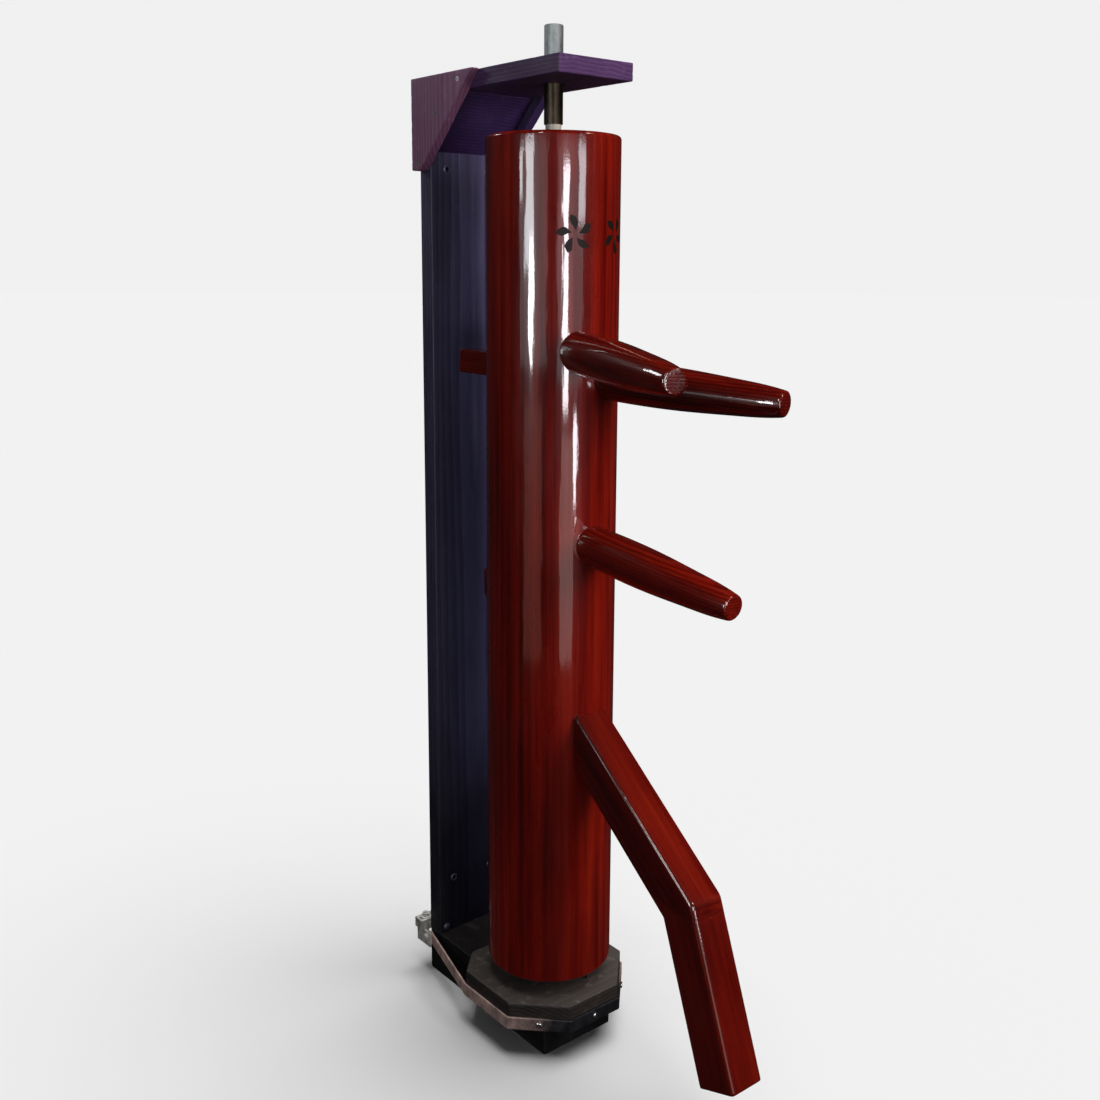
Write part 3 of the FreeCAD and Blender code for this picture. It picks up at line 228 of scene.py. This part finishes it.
class Graph:
    """A small helper round one material's node tree."""

    def __init__(self, name):
        self.material = bpy.data.materials.new(name)
        self.material.use_nodes = True
        self.tree = self.material.node_tree
        self.shader = self.tree.nodes["Principled BSDF"]

    def node(self, kind, **settings):
        made = self.tree.nodes.new("ShaderNode" + kind)
        for key, value in settings.items():
            setattr(made, key, value)
        return made

    def link(self, source, target):
        self.tree.links.new(source, target)

    def feed(self, value, socket):
        """Link an output, or set a number or colour."""
        if isinstance(value, bpy.types.NodeSocket):
            self.link(value, socket)
        else:
            socket.default_value = value

    def place(self, turn=(0, 0, 0), shift=(0, 0, 0)):
        """Where a point is on the piece, in metres, turned and moved."""
        where = self.node("TexCoord")
        moved = self.node("Mapping")
        self.link(where.outputs["Object"], moved.inputs["Vector"])
        moved.inputs["Location"].default_value = shift
        moved.inputs["Rotation"].default_value = turn
        return moved.outputs["Vector"]

    def stretch(self, vector, scale):
        moved = self.node("Mapping")
        self.link(vector, moved.inputs["Vector"])
        moved.inputs["Scale"].default_value = scale
        return moved.outputs["Vector"]

    def noise(self, vector, scale, detail=4.0, rough=0.55, warp=0.0):
        made = self.node("TexNoise")
        self.link(vector, made.inputs["Vector"])
        made.inputs["Scale"].default_value = scale
        made.inputs["Detail"].default_value = detail
        made.inputs["Roughness"].default_value = rough
        made.inputs["Distortion"].default_value = warp
        return made.outputs["Fac"]

    def maths(self, what, a, b=0.0, clamp=False):
        made = self.node("Math", operation=what, use_clamp=clamp)
        self.feed(a, made.inputs[0])
        self.feed(b, made.inputs[1])
        return made.outputs[0]

    def remap(self, value, low, high, to_low=0.0, to_high=1.0):
        made = self.node("MapRange", clamp=True)
        self.feed(value, made.inputs["Value"])
        for name, number in (("From Min", low), ("From Max", high), ("To Min", to_low), ("To Max", to_high)):
            made.inputs[name].default_value = number
        return made.outputs["Result"]

    def ramp(self, value, stops):
        made = self.node("ValToRGB")
        self.feed(value, made.inputs["Fac"])
        band = made.color_ramp
        while len(band.elements) < len(stops):
            band.elements.new(0.5)
        for element, (at, colour) in zip(band.elements, stops):
            element.position = at
            element.color = (*colour, 1)
        return made.outputs["Color"]

    def mix(self, factor, a, b, blend="MIX"):
        made = self.node("Mix", data_type="RGBA", blend_type=blend)
        self.feed(factor, made.inputs["Factor"])
        for value, socket in ((a, made.inputs[6]), (b, made.inputs[7])):
            self.feed((*value, 1) if isinstance(value, tuple) and len(value) == 3 else value, socket)
        return made.outputs[2]

    def edges(self, radius):
        """1 on sharp edges and corners, falling to 0 on flat faces."""
        bevel = self.node("Bevel", samples=6)
        bevel.inputs["Radius"].default_value = radius
        flat = self.node("NewGeometry")
        dot = self.node("VectorMath", operation="DOT_PRODUCT")
        self.link(bevel.outputs["Normal"], dot.inputs[0])
        self.link(flat.outputs["Normal"], dot.inputs[1])
        return self.remap(dot.outputs["Value"], 0.998, 0.86)

    def bump(self, height, strength, distance, below=None):
        made = self.node("Bump")
        self.feed(height, made.inputs["Height"])
        made.inputs["Strength"].default_value = strength
        made.inputs["Distance"].default_value = distance
        if below is not None:
            self.link(below, made.inputs["Normal"])
        return made.outputs["Normal"]

    def finish(self, **inputs):
        for name, value in inputs.items():
            socket = self.shader.inputs[name.replace("_", " ")]
            if isinstance(value, tuple) and len(value) == 3 and socket.type == "RGBA":
                value = (*value, 1)
            self.feed(value, socket)
        return self.material


def axis_turn(way):
    """Mapping angles that lay the direction along the texture's Z."""
    return Vector(way).to_track_quat("Z", "Y").inverted().to_euler("XYZ")


def growth(g, place, ring_width, pith, wander):
    """Growth rings round a pith line, with the long straight grain that they make on a side.
    pith is the way from that line to the piece's origin, across the grain."""
    moved = g.node("Mapping")
    g.link(place, moved.inputs["Vector"])
    moved.inputs["Location"].default_value = (pith[0], pith[1], 0)
    sway = g.node("TexNoise")
    g.link(g.stretch(moved.outputs["Vector"], (1, 1, 0.07)), sway.inputs["Vector"])
    sway.inputs["Scale"].default_value = 9.0
    sway.inputs["Detail"].default_value = 2.0
    centre = g.node("VectorMath", operation="SUBTRACT")
    g.link(sway.outputs["Color"], centre.inputs[0])
    centre.inputs[1].default_value = (0.5, 0.5, 0.5)
    scaled = g.node("VectorMath", operation="SCALE")
    g.link(centre.outputs["Vector"], scaled.inputs[0])
    scaled.inputs["Scale"].default_value = wander
    warped = g.node("VectorMath", operation="ADD")
    g.link(moved.outputs["Vector"], warped.inputs[0])
    g.link(scaled.outputs["Vector"], warped.inputs[1])
    length = g.node("VectorMath", operation="LENGTH")
    g.link(g.stretch(warped.outputs["Vector"], (1, 1, 0)), length.inputs[0])
    rings = g.maths("FRACT", g.maths("MULTIPLY", length.outputs["Value"], 1.0 / ring_width))
    return g.maths("MULTIPLY", rings, g.remap(rings, 0.80, 1.0, 1.0, 0.0))


def lacquered(name, way, ring_width=0.0065, pith=(0.03, 0.055), dark=1.0, seed=0.0, ring_part=0.12,
              below=None):
    """Red mahogany under thick gloss lacquer; `below` is a height and the grain's way underneath it."""
    g = Graph(name)
    place = g.place(axis_turn(way), shift=(0, 0, seed))
    if below:
        level, lower_way = below
        lower = g.place(axis_turn(lower_way), shift=(0, 0, seed + 0.3))
        split = g.node("SeparateXYZ")
        g.link(g.place(), split.inputs[0])
        part = g.remap(split.outputs[2], level + GRAIN_BEND_BORDER, level - GRAIN_BEND_BORDER)
        place = g.mix(part, place, lower)
    rings = growth(g, place, ring_width, pith, 0.012)
    fibres = g.noise(g.stretch(place, (1, 1, 0.012)), 520.0, 4.0, 0.62)
    streaks = g.noise(g.stretch(place, (1, 1, 0.022)), 95.0, 4.0, 0.6)
    broad = g.noise(g.stretch(place, (1, 1, 0.16)), 11.0, 4.0, 0.55, 0.3)
    tone = g.maths("ADD", g.maths("MULTIPLY", rings, ring_part), g.maths("MULTIPLY", broad, 0.42))
    tone = g.maths("ADD", tone, g.maths("MULTIPLY", streaks, 0.34))
    tone = g.maths("ADD", tone, g.maths("MULTIPLY", fibres, 0.20))
    colour = g.ramp(tone, [
        (0.35, (0.040 * dark, 0.0006 * dark, 0.0004 * dark)),
        (0.45, (0.105 * dark, 0.0020 * dark, 0.0010 * dark)),
        (0.55, (0.200 * dark, 0.0055 * dark, 0.0018 * dark)),
        (0.68, (0.330 * dark, 0.0150 * dark, 0.0040 * dark)),
    ])
    pores = g.noise(g.stretch(place, (1, 1, 0.035)), 1500.0, 1.0, 0.5)
    colour = g.mix(g.maths("MULTIPLY", g.remap(pores, 0.62, 0.72), 0.45), colour, (0.020, 0.0012, 0.0008))
    smoke = g.remap(g.noise(g.stretch(place, (1, 1, 0.35)), 6.5, 3.0, 0.6), 0.50, 0.70)
    colour = g.mix(g.maths("MULTIPLY", smoke, 0.40), colour, (0.040 * dark, 0.0022 * dark, 0.0014 * dark))
    worn = g.maths("MULTIPLY", g.edges(0.0035), g.remap(g.noise(place, 60.0), 0.42, 0.62))
    colour = g.mix(g.maths("MULTIPLY", worn, 0.40), colour, (0.40, 0.062, 0.018))
    ripple = g.noise(g.stretch(place, (1, 1, 0.10)), 26.0, 3.0, 0.55)
    peel = g.noise(place, 260.0, 2.0, 0.5)
    coat_bump = g.bump(peel, 0.10, 0.00035, g.bump(ripple, 0.50, 0.0022))
    grain_bump = g.bump(fibres, 0.12, 0.0004, coat_bump)
    smear = g.noise(g.stretch(place, (1, 1, 0.3)), 14.0, 5.0, 0.65)
    return g.finish(Base_Color=colour, Roughness=g.remap(smear, 0.35, 0.72, 0.24, 0.42), Coat_Weight=1.0,
                    Coat_Roughness=0.06, Coat_IOR=1.5, Specular_IOR_Level=0.08,
                    Normal=grain_bump, Coat_Normal=coat_bump)


def stained(name, way, colours, ring_width, pith=(0.0, 0.12), seed=0.0, scuffs=0.35, dusty=0.22,
            painted_light_by_height=None, top_dust_and_light=0.0):
    """Softwood under thin stain: the grain stands out and the corners are rubbed pale.
    dusty is how much dust clings anywhere. The amount for upward faces lays a pale colour on them, partly settled
    dust and partly painted light on the tops. The height ramp is painted light and shade: it multiplies the colour
    by height."""
    g = Graph(name)
    place = g.place(axis_turn(way), shift=(0, 0, seed))
    rings = growth(g, place, ring_width, pith, 0.03)
    fibres = g.noise(g.stretch(place, (1, 1, 0.018)), 560.0, 4.0, 0.62)
    broad = g.noise(g.stretch(place, (1, 1, 0.2)), 9.0, 4.0, 0.6)
    tone = g.maths("ADD", g.maths("MULTIPLY", rings, 0.24), g.maths("MULTIPLY", broad, 0.50))
    tone = g.maths("ADD", tone, g.maths("MULTIPLY", fibres, 0.38))
    dark, middle, light = colours
    colour = g.ramp(tone, [(0.34, dark), (0.54, middle), (0.78, light)])
    dust = g.remap(g.noise(place, 48.0, 6.0, 0.7), 0.56, 0.72)
    colour = g.mix(g.maths("MULTIPLY", dust, dusty), colour, shade(light, 1.9, 0.02))
    # Upward faces paled: settled dust, and partly painted light on the tops.
    if top_dust_and_light:
        facing = g.node("SeparateXYZ")
        g.link(g.node("NewGeometry").outputs["Normal"], facing.inputs[0])
        upward = g.remap(facing.outputs[2], 0.5, 0.95)
        lying_dust_and_light = g.maths("MULTIPLY", upward, g.remap(dust, 0.0, 1.0, 0.30, 1.0))
        colour = g.mix(g.maths("MULTIPLY", lying_dust_and_light, top_dust_and_light), colour, SETTLED_DUST_AND_TOP_LIGHT)
    # Painted light and shade: the colour is multiplied by a ramp on height, lighter near the top and darker
    # towards the foot.
    if painted_light_by_height:
        split = g.node("SeparateXYZ")
        g.link(g.place(), split.inputs[0])
        level = g.maths("ADD", split.outputs[2], g.maths("MULTIPLY", g.maths("SUBTRACT", broad, 0.5), 0.25))
        colour = g.mix(1.0, colour, g.ramp(g.maths("MULTIPLY", level, 1 / PAINTED_LIGHT_SPAN), painted_light_by_height), "MULTIPLY")
    worn = g.maths("MULTIPLY", g.edges(0.003), g.remap(g.noise(place, 75.0, 5.0, 0.65), 0.44, 0.62))
    colour = g.mix(g.maths("MULTIPLY", worn, scuffs), colour, shade(light, 2.6, 0.05))
    normal = g.bump(fibres, 0.35, 0.0006, g.bump(rings, 0.2, 0.0008))
    gloss = g.remap(g.noise(g.stretch(place, (1, 1, 0.3)), 30.0, 4.0), 0.35, 0.68, 0.46, 0.66)
    return g.finish(Base_Color=colour, Roughness=gloss, Normal=normal, Specular_IOR_Level=0.22)


def two_part(name, low, high, low_finish, high_finish, start, end, axis=2):
    """Metal whose look changes along an axis of the object, through a ragged border. On the pivot pipe and the
    wall washers the change is painted light and shade. A finish is how rough and how metallic it is."""
    g = Graph(name)
    place = g.place()
    split = g.node("SeparateXYZ")
    g.link(place, split.inputs[0])
    uneven = g.maths("SUBTRACT", g.noise(place, 85.0, 5.0, 0.6), 0.5)
    ragged = g.maths("MULTIPLY", uneven, 0.5 * (end - start))
    part = g.remap(g.maths("ADD", split.outputs[axis], ragged), start, end)
    cloud = g.noise(g.stretch(place, (1, 1, 0.6)), 48.0, 6.0, 0.68)
    spread = g.remap(cloud, 0.34, 0.66)
    lower = g.mix(spread, shade(low, 0.5), shade(low, 1.5))
    upper = g.mix(spread, shade(high, 0.55), shade(high, 1.4))
    tone = g.mix(part, lower, upper)
    rubbed = g.maths("MULTIPLY", g.edges(0.0010), 0.6)
    tone = g.mix(rubbed, tone, shade(high, 1.6, 0.08))
    rough = g.maths("ADD", g.remap(part, 0, 1, low_finish[0], high_finish[0]),
                    g.maths("MULTIPLY", spread, 0.16), clamp=True)
    normal = g.bump(g.noise(g.stretch(place, (1, 1, 0.15)), 700.0, 3.0, 0.6), 0.15, 0.0002,
                    g.bump(cloud, 0.2, 0.0005))
    metallic = g.remap(part, 0, 1, low_finish[1], high_finish[1])
    return g.finish(Base_Color=tone, Metallic=metallic, Roughness=rough, Normal=normal)


def metal(name, colour, spread, rough, spangle=0.0, grime=(0.05, 0.035, 0.02), grimy=0.4, metallic=1.0,
          bump=0.12):
    """Bare, plated or cast metal with patches of grime and bright rubbed edges."""
    g = Graph(name)
    place = g.place()
    cloud = g.noise(place, 55.0, 6.0, 0.65)
    if spangle:
        cells = g.node("TexVoronoi", feature="F1")
        g.link(place, cells.inputs["Vector"])
        cells.inputs["Scale"].default_value = 170.0
        tint = g.node("SeparateColor")
        g.link(cells.outputs["Color"], tint.inputs[0])
        cloud = g.maths("ADD", g.maths("MULTIPLY", cloud, 1 - spangle),
                        g.maths("MULTIPLY", tint.outputs[0], spangle))
    tone = g.ramp(cloud, [(0.25, shade(colour, 1 - spread)), (0.75, shade(colour, 1 + spread))])
    dirt = g.maths("MULTIPLY", g.remap(g.noise(place, 24.0, 7.0, 0.7), 0.48, 0.68), grimy)
    tone = g.mix(dirt, tone, grime)
    rub = g.maths("MULTIPLY", g.edges(0.0012), 0.7)
    tone = g.mix(rub, tone, shade(colour, 1.5, 0.1))
    scratch = g.noise(g.stretch(place, (1, 1, 0.06)), 900.0, 2.0, 0.6)
    gloss = g.maths("ADD", g.remap(cloud, 0.3, 0.7, *rough), g.maths("MULTIPLY", dirt, 0.35), clamp=True)
    normal = g.bump(scratch, bump, 0.0002, g.bump(cloud, bump, 0.0006))
    return g.finish(Base_Color=tone, Metallic=metallic, Roughness=gloss, Normal=normal)


def nylon(name):
    g = Graph(name)
    place = g.place()
    tone = g.ramp(g.noise(place, 90.0, 5.0, 0.6), [(0.3, (0.50, 0.42, 0.34)), (0.7, (0.72, 0.66, 0.58))])
    lathe = g.noise(g.stretch(place, (0.02, 0.02, 1)), 1400.0, 1.0)
    return g.finish(Base_Color=tone, Roughness=0.45, Subsurface_Weight=0.12,
                    Normal=g.bump(lathe, 0.15, 0.0002))


def ink(name):
    """Black brush paint, browner and rougher where the brush ran dry."""
    g = Graph(name)
    place = g.place()
    dry = g.remap(g.noise(place, 420.0, 4.0, 0.7), 0.40, 0.70)
    tone = g.mix(dry, (0.0040, 0.0032, 0.0030), (0.022, 0.010, 0.007))
    return g.finish(Base_Color=tone, Roughness=g.remap(dry, 0, 1, 0.50, 0.75), Specular_IOR_Level=0.15,
                    Normal=g.bump(dry, 0.3, 0.0002))


# ---------------------------------------------------------------- worn surfaces
# The ridges on an arm's end go round the same centre as the rings in its lacquer.
ARM_PITH = (0.060, -0.045)
ARM_RINGS = 5 * MM
# What counts as a piece's end: how near its furthest point, and how far facing that way.
END_DEPTH = 3 * MM
END_FACING = 0.6
# How far a full corner stands out of its neighbours' middle, in voxels.
FULL_CORNER = 0.10
# Scales of the noise, per metre, in the raised grain and the knocks.
GRAIN_ACROSS = 420
GRAIN_ALONG = 9
KNOCK_BROAD = 55
KNOCK_FINE = 190
# The strength of the fine knocks beside the broad, and the level under which there is no knock.
KNOCK_FINE_SHARE = 0.45
KNOCK_LEAST = 0.12


def joint_axis(name):
    return next(joint["axis"] for joint in frame["joints"] if joint["name"] == name)


def stand_for(piece, node):
    """The piece rides on the CAD node's body, and the node that it replaces is hidden."""
    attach(piece, NODE_BODY[node])
    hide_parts(node)


def fine_skin(node, voxel, smoothing):
    """A new object with the node's shape in small even faces, its corners just softened."""
    piece = bpy.data.objects.new(node + "_worn", NODES[node].data.copy())
    bpy.context.scene.collection.objects.link(piece)
    skin = piece.modifiers.new("skin", "REMESH")
    skin.mode = "VOXEL"
    skin.voxel_size = voxel
    soften = piece.modifiers.new("soften", "SMOOTH")
    soften.factor = 0.5
    soften.iterations = smoothing
    depsgraph = bpy.context.evaluated_depsgraph_get()
    mesh = bpy.data.meshes.new_from_object(piece.evaluated_get(depsgraph))
    piece.modifiers.clear()
    piece.data = mesh
    return piece


def worn(node, way, voxel, raised, nick, smoothing, end_rings=None):
    """The node in wood as it ages: raised grain, knocked corners and, if asked, ridged end grain.

    Every change goes inward. raised and nick are depths in metres. end_rings is the spacing and depth of
    the ridges on the end that way points to."""
    piece = fine_skin(node, voxel, smoothing)
    shape = bmesh.new()
    shape.from_mesh(piece.data)
    shape.normal_update()
    along = Vector(way).normalized()
    level = along.to_track_quat("Z", "Y").inverted()
    furthest = max(vert.co.dot(along) for vert in shape.verts)
    moves = []
    for vert in shape.verts:
        middle = Vector((0, 0, 0))
        for edge in vert.link_edges:
            middle += edge.other_vert(vert).co
        middle /= max(1, len(vert.link_edges))
        corner = min(1.0, max(0.0, (vert.co - middle).dot(vert.normal) / (FULL_CORNER * voxel)))
        local = level @ vert.co
        grain = 0.5 + 0.5 * noise.noise(Vector((local.x * GRAIN_ACROSS, local.y * GRAIN_ACROSS,
                                                local.z * GRAIN_ALONG)))
        knock = (noise.noise(vert.co * KNOCK_BROAD)
                 + KNOCK_FINE_SHARE * noise.noise(vert.co * KNOCK_FINE) - KNOCK_LEAST)
        depth = raised * grain + nick * corner * max(0.0, knock)
        on_end = furthest - vert.co.dot(along) < END_DEPTH and vert.normal.dot(along) > END_FACING
        if end_rings and on_end:
            spacing, ridge = end_rings
            reach = Vector((local.x + ARM_PITH[0], local.y + ARM_PITH[1])).length
            depth += ridge * (0.5 + 0.5 * math.cos(2 * math.pi * reach / spacing))
        moves.append(vert.normal * -depth)
    for vert, move in zip(shape.verts, moves):
        vert.co += move
    shape.to_mesh(piece.data)
    shape.free()
    for face in piece.data.polygons:
        face.use_smooth = True
    stand_for(piece, node)
    return piece


# ---------------------------------------------------------------- brush marks
MARK_MIDDLE = 1.474
PETALS = 5
PETAL_INNER = 7 * MM
PETAL_OUTER = 32 * MM
PETAL_WIDTH = 15 * MM
PETAL_STEPS = 36
PETAL_BEND = 0.30
PAINT_THICK = 0.25 * MM
PAINT_SUNK = 0.15 * MM
TRUNK_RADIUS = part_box("trunk")[1][0]
# A dab in section, over the top from edge to edge and back underneath: how far to the side, and what
# share of the paint's thickness, where None is underneath.
DAB_SECTION = ((-1, 0.05), (-0.6, 0.8), (0, 1.0), (0.6, 0.8), (1, 0.05), (0.9, None), (-0.9, None))


def on_trunk(azimuth, across, up, radius):
    turn = azimuth + across / radius
    return (radius * math.sin(turn), -radius * math.cos(turn), MARK_MIDDLE + up)


def brush_dab(shape, azimuth, angle):
    """One dab of the brush, pointed where it starts and round where it lifts, as a thin closed solid."""
    rows = []
    for step in range(PETAL_STEPS + 1):
        t = step / PETAL_STEPS
        reach = PETAL_INNER + (PETAL_OUTER - PETAL_INNER) * t
        way = angle + PETAL_BEND * (t - 0.5)
        ragged = 0.90 + 0.16 * noise.noise(Vector((t * 8, angle, azimuth)))
        wide = PETAL_WIDTH * ragged * (0.05 + 0.95 * math.sin(math.pi * t ** 1.35) ** 0.8)
        row = []
        for side, lift in DAB_SECTION:
            bristle = 1 + 0.06 * noise.noise(Vector((t * 40, side * 3, angle)))
            off = side * wide / 2 * bristle
            across = reach * math.cos(way) - off * math.sin(way)
            up = reach * math.sin(way) + off * math.cos(way)
            height = -PAINT_SUNK if lift is None else lift * PAINT_THICK
            row.append(shape.verts.new(on_trunk(azimuth, across, up, TRUNK_RADIUS + height)))
        rows.append(row)
    count = len(rows[0])
    for before, after in zip(rows[:-1], rows[1:]):
        for k in range(count):
            shape.faces.new((before[k], before[(k + 1) % count], after[(k + 1) % count], after[k]))
    shape.faces.new(rows[0][::-1])
    shape.faces.new(rows[-1])


def brush_flower(name, azimuth, start):
    """Five plain brushed petals on the trunk's face."""
    shape = bmesh.new()
    for petal in range(PETALS):
        brush_dab(shape, azimuth, start + 2 * math.pi * petal / PETALS)
    bmesh.ops.recalc_face_normals(shape, faces=shape.faces)
    mesh = bpy.data.meshes.new(name)
    shape.to_mesh(mesh)
    shape.free()
    piece = bpy.data.objects.new(name, mesh)
    bpy.context.scene.collection.objects.link(piece)
    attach(piece, "trunk_body")
    return piece


# ---------------------------------------------------------------- which piece wears what
UP = (0, 0, 1)
ACROSS = (1, 0, 0)
DEEP = (0, 1, 0)
# Each colour: its dark, middle and light. All are stains but the darker, bluer purple, which is painted shade.
NAVY = ((0.0150, 0.0145, 0.0360), (0.0320, 0.0310, 0.0720), (0.0600, 0.0560, 0.1200))
# Painted shade: a darker, bluer purple for the far gusset and the brace, whose seen faces lie in shade under the
# shelf.
PAINTED_SHADE_PURPLE = ((0.0200, 0.0090, 0.0440), (0.0400, 0.0180, 0.0840), (0.0720, 0.0360, 0.1400))
PURPLE = ((0.0370, 0.0120, 0.0560), (0.0740, 0.0270, 0.1080), (0.1280, 0.0620, 0.1850))
MAUVE = ((0.1350, 0.0470, 0.1080), (0.2600, 0.0950, 0.2080), (0.3900, 0.1700, 0.3100))
BLACK = ((0.0012, 0.0011, 0.0018), (0.0028, 0.0026, 0.0036), (0.0090, 0.0082, 0.0092))
BLOCK = ((0.0100, 0.0078, 0.0068), (0.0240, 0.0190, 0.0165), (0.0560, 0.0460, 0.0400))
# Painted light and shade on the post: heights, and what the post's colour is multiplied by there, darker towards
# the foot and lighter near the top.
POST_PAINTED_LIGHT = [(0.05, (0.10, 0.10, 0.10)), (0.17, (0.28, 0.28, 0.28)), (0.27, (0.85, 0.88, 0.88)),
             (0.60, (1.0, 1.0, 1.0)), (0.74, (1.9, 1.8, 1.7)), (0.85, (2.3, 2.0, 1.9))]
KNEE_HEIGHT = 0.40
SHIN_SLOPE = math.radians(70)
SHIN_WAY = Vector((0, -math.cos(SHIN_SLOPE), -math.sin(SHIN_SLOPE)))
STRAP_BEND_DEPTH = 0.055
STRAP_BORDER = 0.03
PIPE_BORDER = 0.01
WASHER_BORDER = 0.05
SCREW_BORDER = 0.012
FINEST = 1.2 * MM
FINE = 1.5 * MM
COARSE = 2.0 * MM


def dress(piece, material):
    piece.data.materials.clear()
    piece.data.materials.append(material)


def dress_lacquer():
    dress(NODES["trunk"], lacquered("trunk_lacquer", UP))
    arms = [
        ("upper_arm_right", "right_arm_play", 0.40, 1.3),
        ("upper_arm_left", "left_arm_play", 0.48, 2.1),
        ("lower_arm", "lower_arm_play", 0.66, 3.4),
    ]
    for node, joint, dark, seed in arms:
        way = joint_axis(joint)
        piece = worn(node, way, FINE, 0.05 * MM, 0.30 * MM, 6, (ARM_RINGS, 0.18 * MM))
        dress(piece, lacquered(node + "_lacquer", way, ARM_RINGS, ARM_PITH, dark, seed, 0.20))
    way = joint_axis("leg_play")
    dress(worn("leg", way, COARSE, 0.05 * MM, 0.45 * MM, 5),
          lacquered("leg_lacquer", way, 0.0060, (0.02, 0.08), 0.52, 4.2, 0.16, (KNEE_HEIGHT, SHIN_WAY)))
    for node in ("upper_peg_right", "upper_peg_left", "lower_peg", "leg_peg"):
        way = ACROSS if node == "leg_peg" else UP
        dress(NODES[node], lacquered(node + "_lacquer", way, 0.003, (0.001, 0.002), 0.9, 5.0))
    for name, azimuth, start in (("brush_flower_right", -21, 0.4), ("brush_flower_left", 24, 1.0)):
        dress(brush_flower(name, math.radians(azimuth), start), ink(name + "_ink"))


def dress_boards():
    # The post's stain, with painted light near its top and painted shade towards its foot.
    dress(NODES["back_post"], stained("post_stain", UP, NAVY, 0.008, (0.01, 0.14), seed=0.4, dusty=0.10,
                                      painted_light_by_height=POST_PAINTED_LIGHT))
    boards = [
        ("top_shelf", DEEP, PURPLE, 1.1, 0.40, 0.05),
        ("gusset_right", UP, MAUVE, 2.2, 0.50, 0.05),
        # The far gusset and the brace wear the darker purple, painted shade.
        ("gusset_left", UP, PAINTED_SHADE_PURPLE, 3.1, 0.20, 0.05),
        ("diagonal_brace", (0, 1, 1), PAINTED_SHADE_PURPLE, 4.3, 0.25, 0.05),
        ("base_beam", DEEP, BLACK, 5.7, 0.30, 0.15),
        # The block's pale top is partly settled dust and partly painted light.
        ("octagon_block", ACROSS, BLOCK, 6.1, 0.45, 0.95),
    ]
    for node, way, colours, seed, scuffs, top_dust_and_light in boards:
        piece = worn(node, way, COARSE, 0.12 * MM, 1.1 * MM, 2)
        dress(piece, stained(node + "_stain", way, colours, 0.007, seed=seed, scuffs=scuffs,
                             top_dust_and_light=top_dust_and_light))


def dress_metal():
    galvanised = metal("galvanised", (0.62, 0.61, 0.57), 0.22, (0.30, 0.48), spangle=0.45, metallic=0.25)
    zinc = metal("zinc", (0.66, 0.65, 0.62), 0.15, (0.18, 0.34), grimy=0.2)
    # The post's navy lifted as painted light, for the upper washers.
    painted_lit_navy = shade(NAVY[1], 2.2)
    for node in ("wall_channel", "channel_nuts", "tie_bracket_right", "tie_bracket_left", "fitting_nuts",
                 "fitting_bolts"):
        dress(NODES[node], galvanised)
    for node in ("shelf_screws", "block_screws", "beam_screws", "strap_screws", "flange_screws"):
        dress(NODES[node], zinc)
    dress(NODES["channel_bolts"], metal("painted_low", NAVY[0], 0.3, (0.45, 0.60), metallic=0.0,
                                        grime=shade(NAVY[0], 0.2), bump=0.3))
    # The washers are painted near black below the post's middle, painted shade as on the post's foot, and a lifted
    # navy above it, painted light as on the post's top.
    post_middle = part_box("back_post")[1][2] / 2
    dress(NODES["wall_washers"], two_part("washer_paint_painted_light_and_shade", shade(NAVY[0], 0.3), painted_lit_navy,
                                          (0.50, 0.0), (0.45, 0.1), post_middle, post_middle + WASHER_BORDER))
    shelf_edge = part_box("top_shelf")[0][2]
    dress(NODES["gusset_screws"], two_part("gusset_screw_steel", (0.016, 0.010, 0.013), (0.42, 0.36, 0.38),
                                           (0.55, 0.3), (0.35, 0.9), shelf_edge - SCREW_BORDER, shelf_edge))
    dress(NODES["floor_flange"], metal("black_casting", (0.030, 0.030, 0.032), 0.3, (0.45, 0.65),
                                       metallic=0.6, bump=0.4))
    bright = metal("turned_steel", (0.42, 0.42, 0.41), 0.15, (0.2, 0.35), grimy=0.3)
    for node in ("top_rod", "thrust_washer", "bottom_pivot_pipe"):
        dress(NODES[node], bright)
    # The pivot pipe is dark bronze below the shelf's middle and bright steel above: the dark is painted shade
    # under the shelf.
    shelf_middle = (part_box("top_shelf")[0][2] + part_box("top_shelf")[1][2]) / 2
    dress(NODES["top_pivot_pipe"], two_part("pivot_pipe_steel_painted_shade", (0.026, 0.019, 0.011), (0.22, 0.25, 0.25),
                                            (0.30, 0.80), (0.42, 0.60),
                                            shelf_middle - PIPE_BORDER, shelf_middle + PIPE_BORDER))
    strap = worn("tie_strap", DEEP, FINEST, 0.05 * MM, 0.35 * MM, 1)
    strap_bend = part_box("tie_strap")[0][1] + STRAP_BEND_DEPTH
    dress(strap, two_part("strap_bar", (0.012, 0.012, 0.017), (0.480, 0.330, 0.290),
                          (0.42, 0.35), (0.50, 0.30),
                          strap_bend - STRAP_BORDER, strap_bend + STRAP_BORDER, 1))
    for node in ("top_sleeve", "bottom_bush"):
        dress(NODES[node], nylon(node + "_nylon"))


make_camera()
make_studio(make_floor())
make_sky()
dress_lacquer()
dress_boards()
dress_metal()
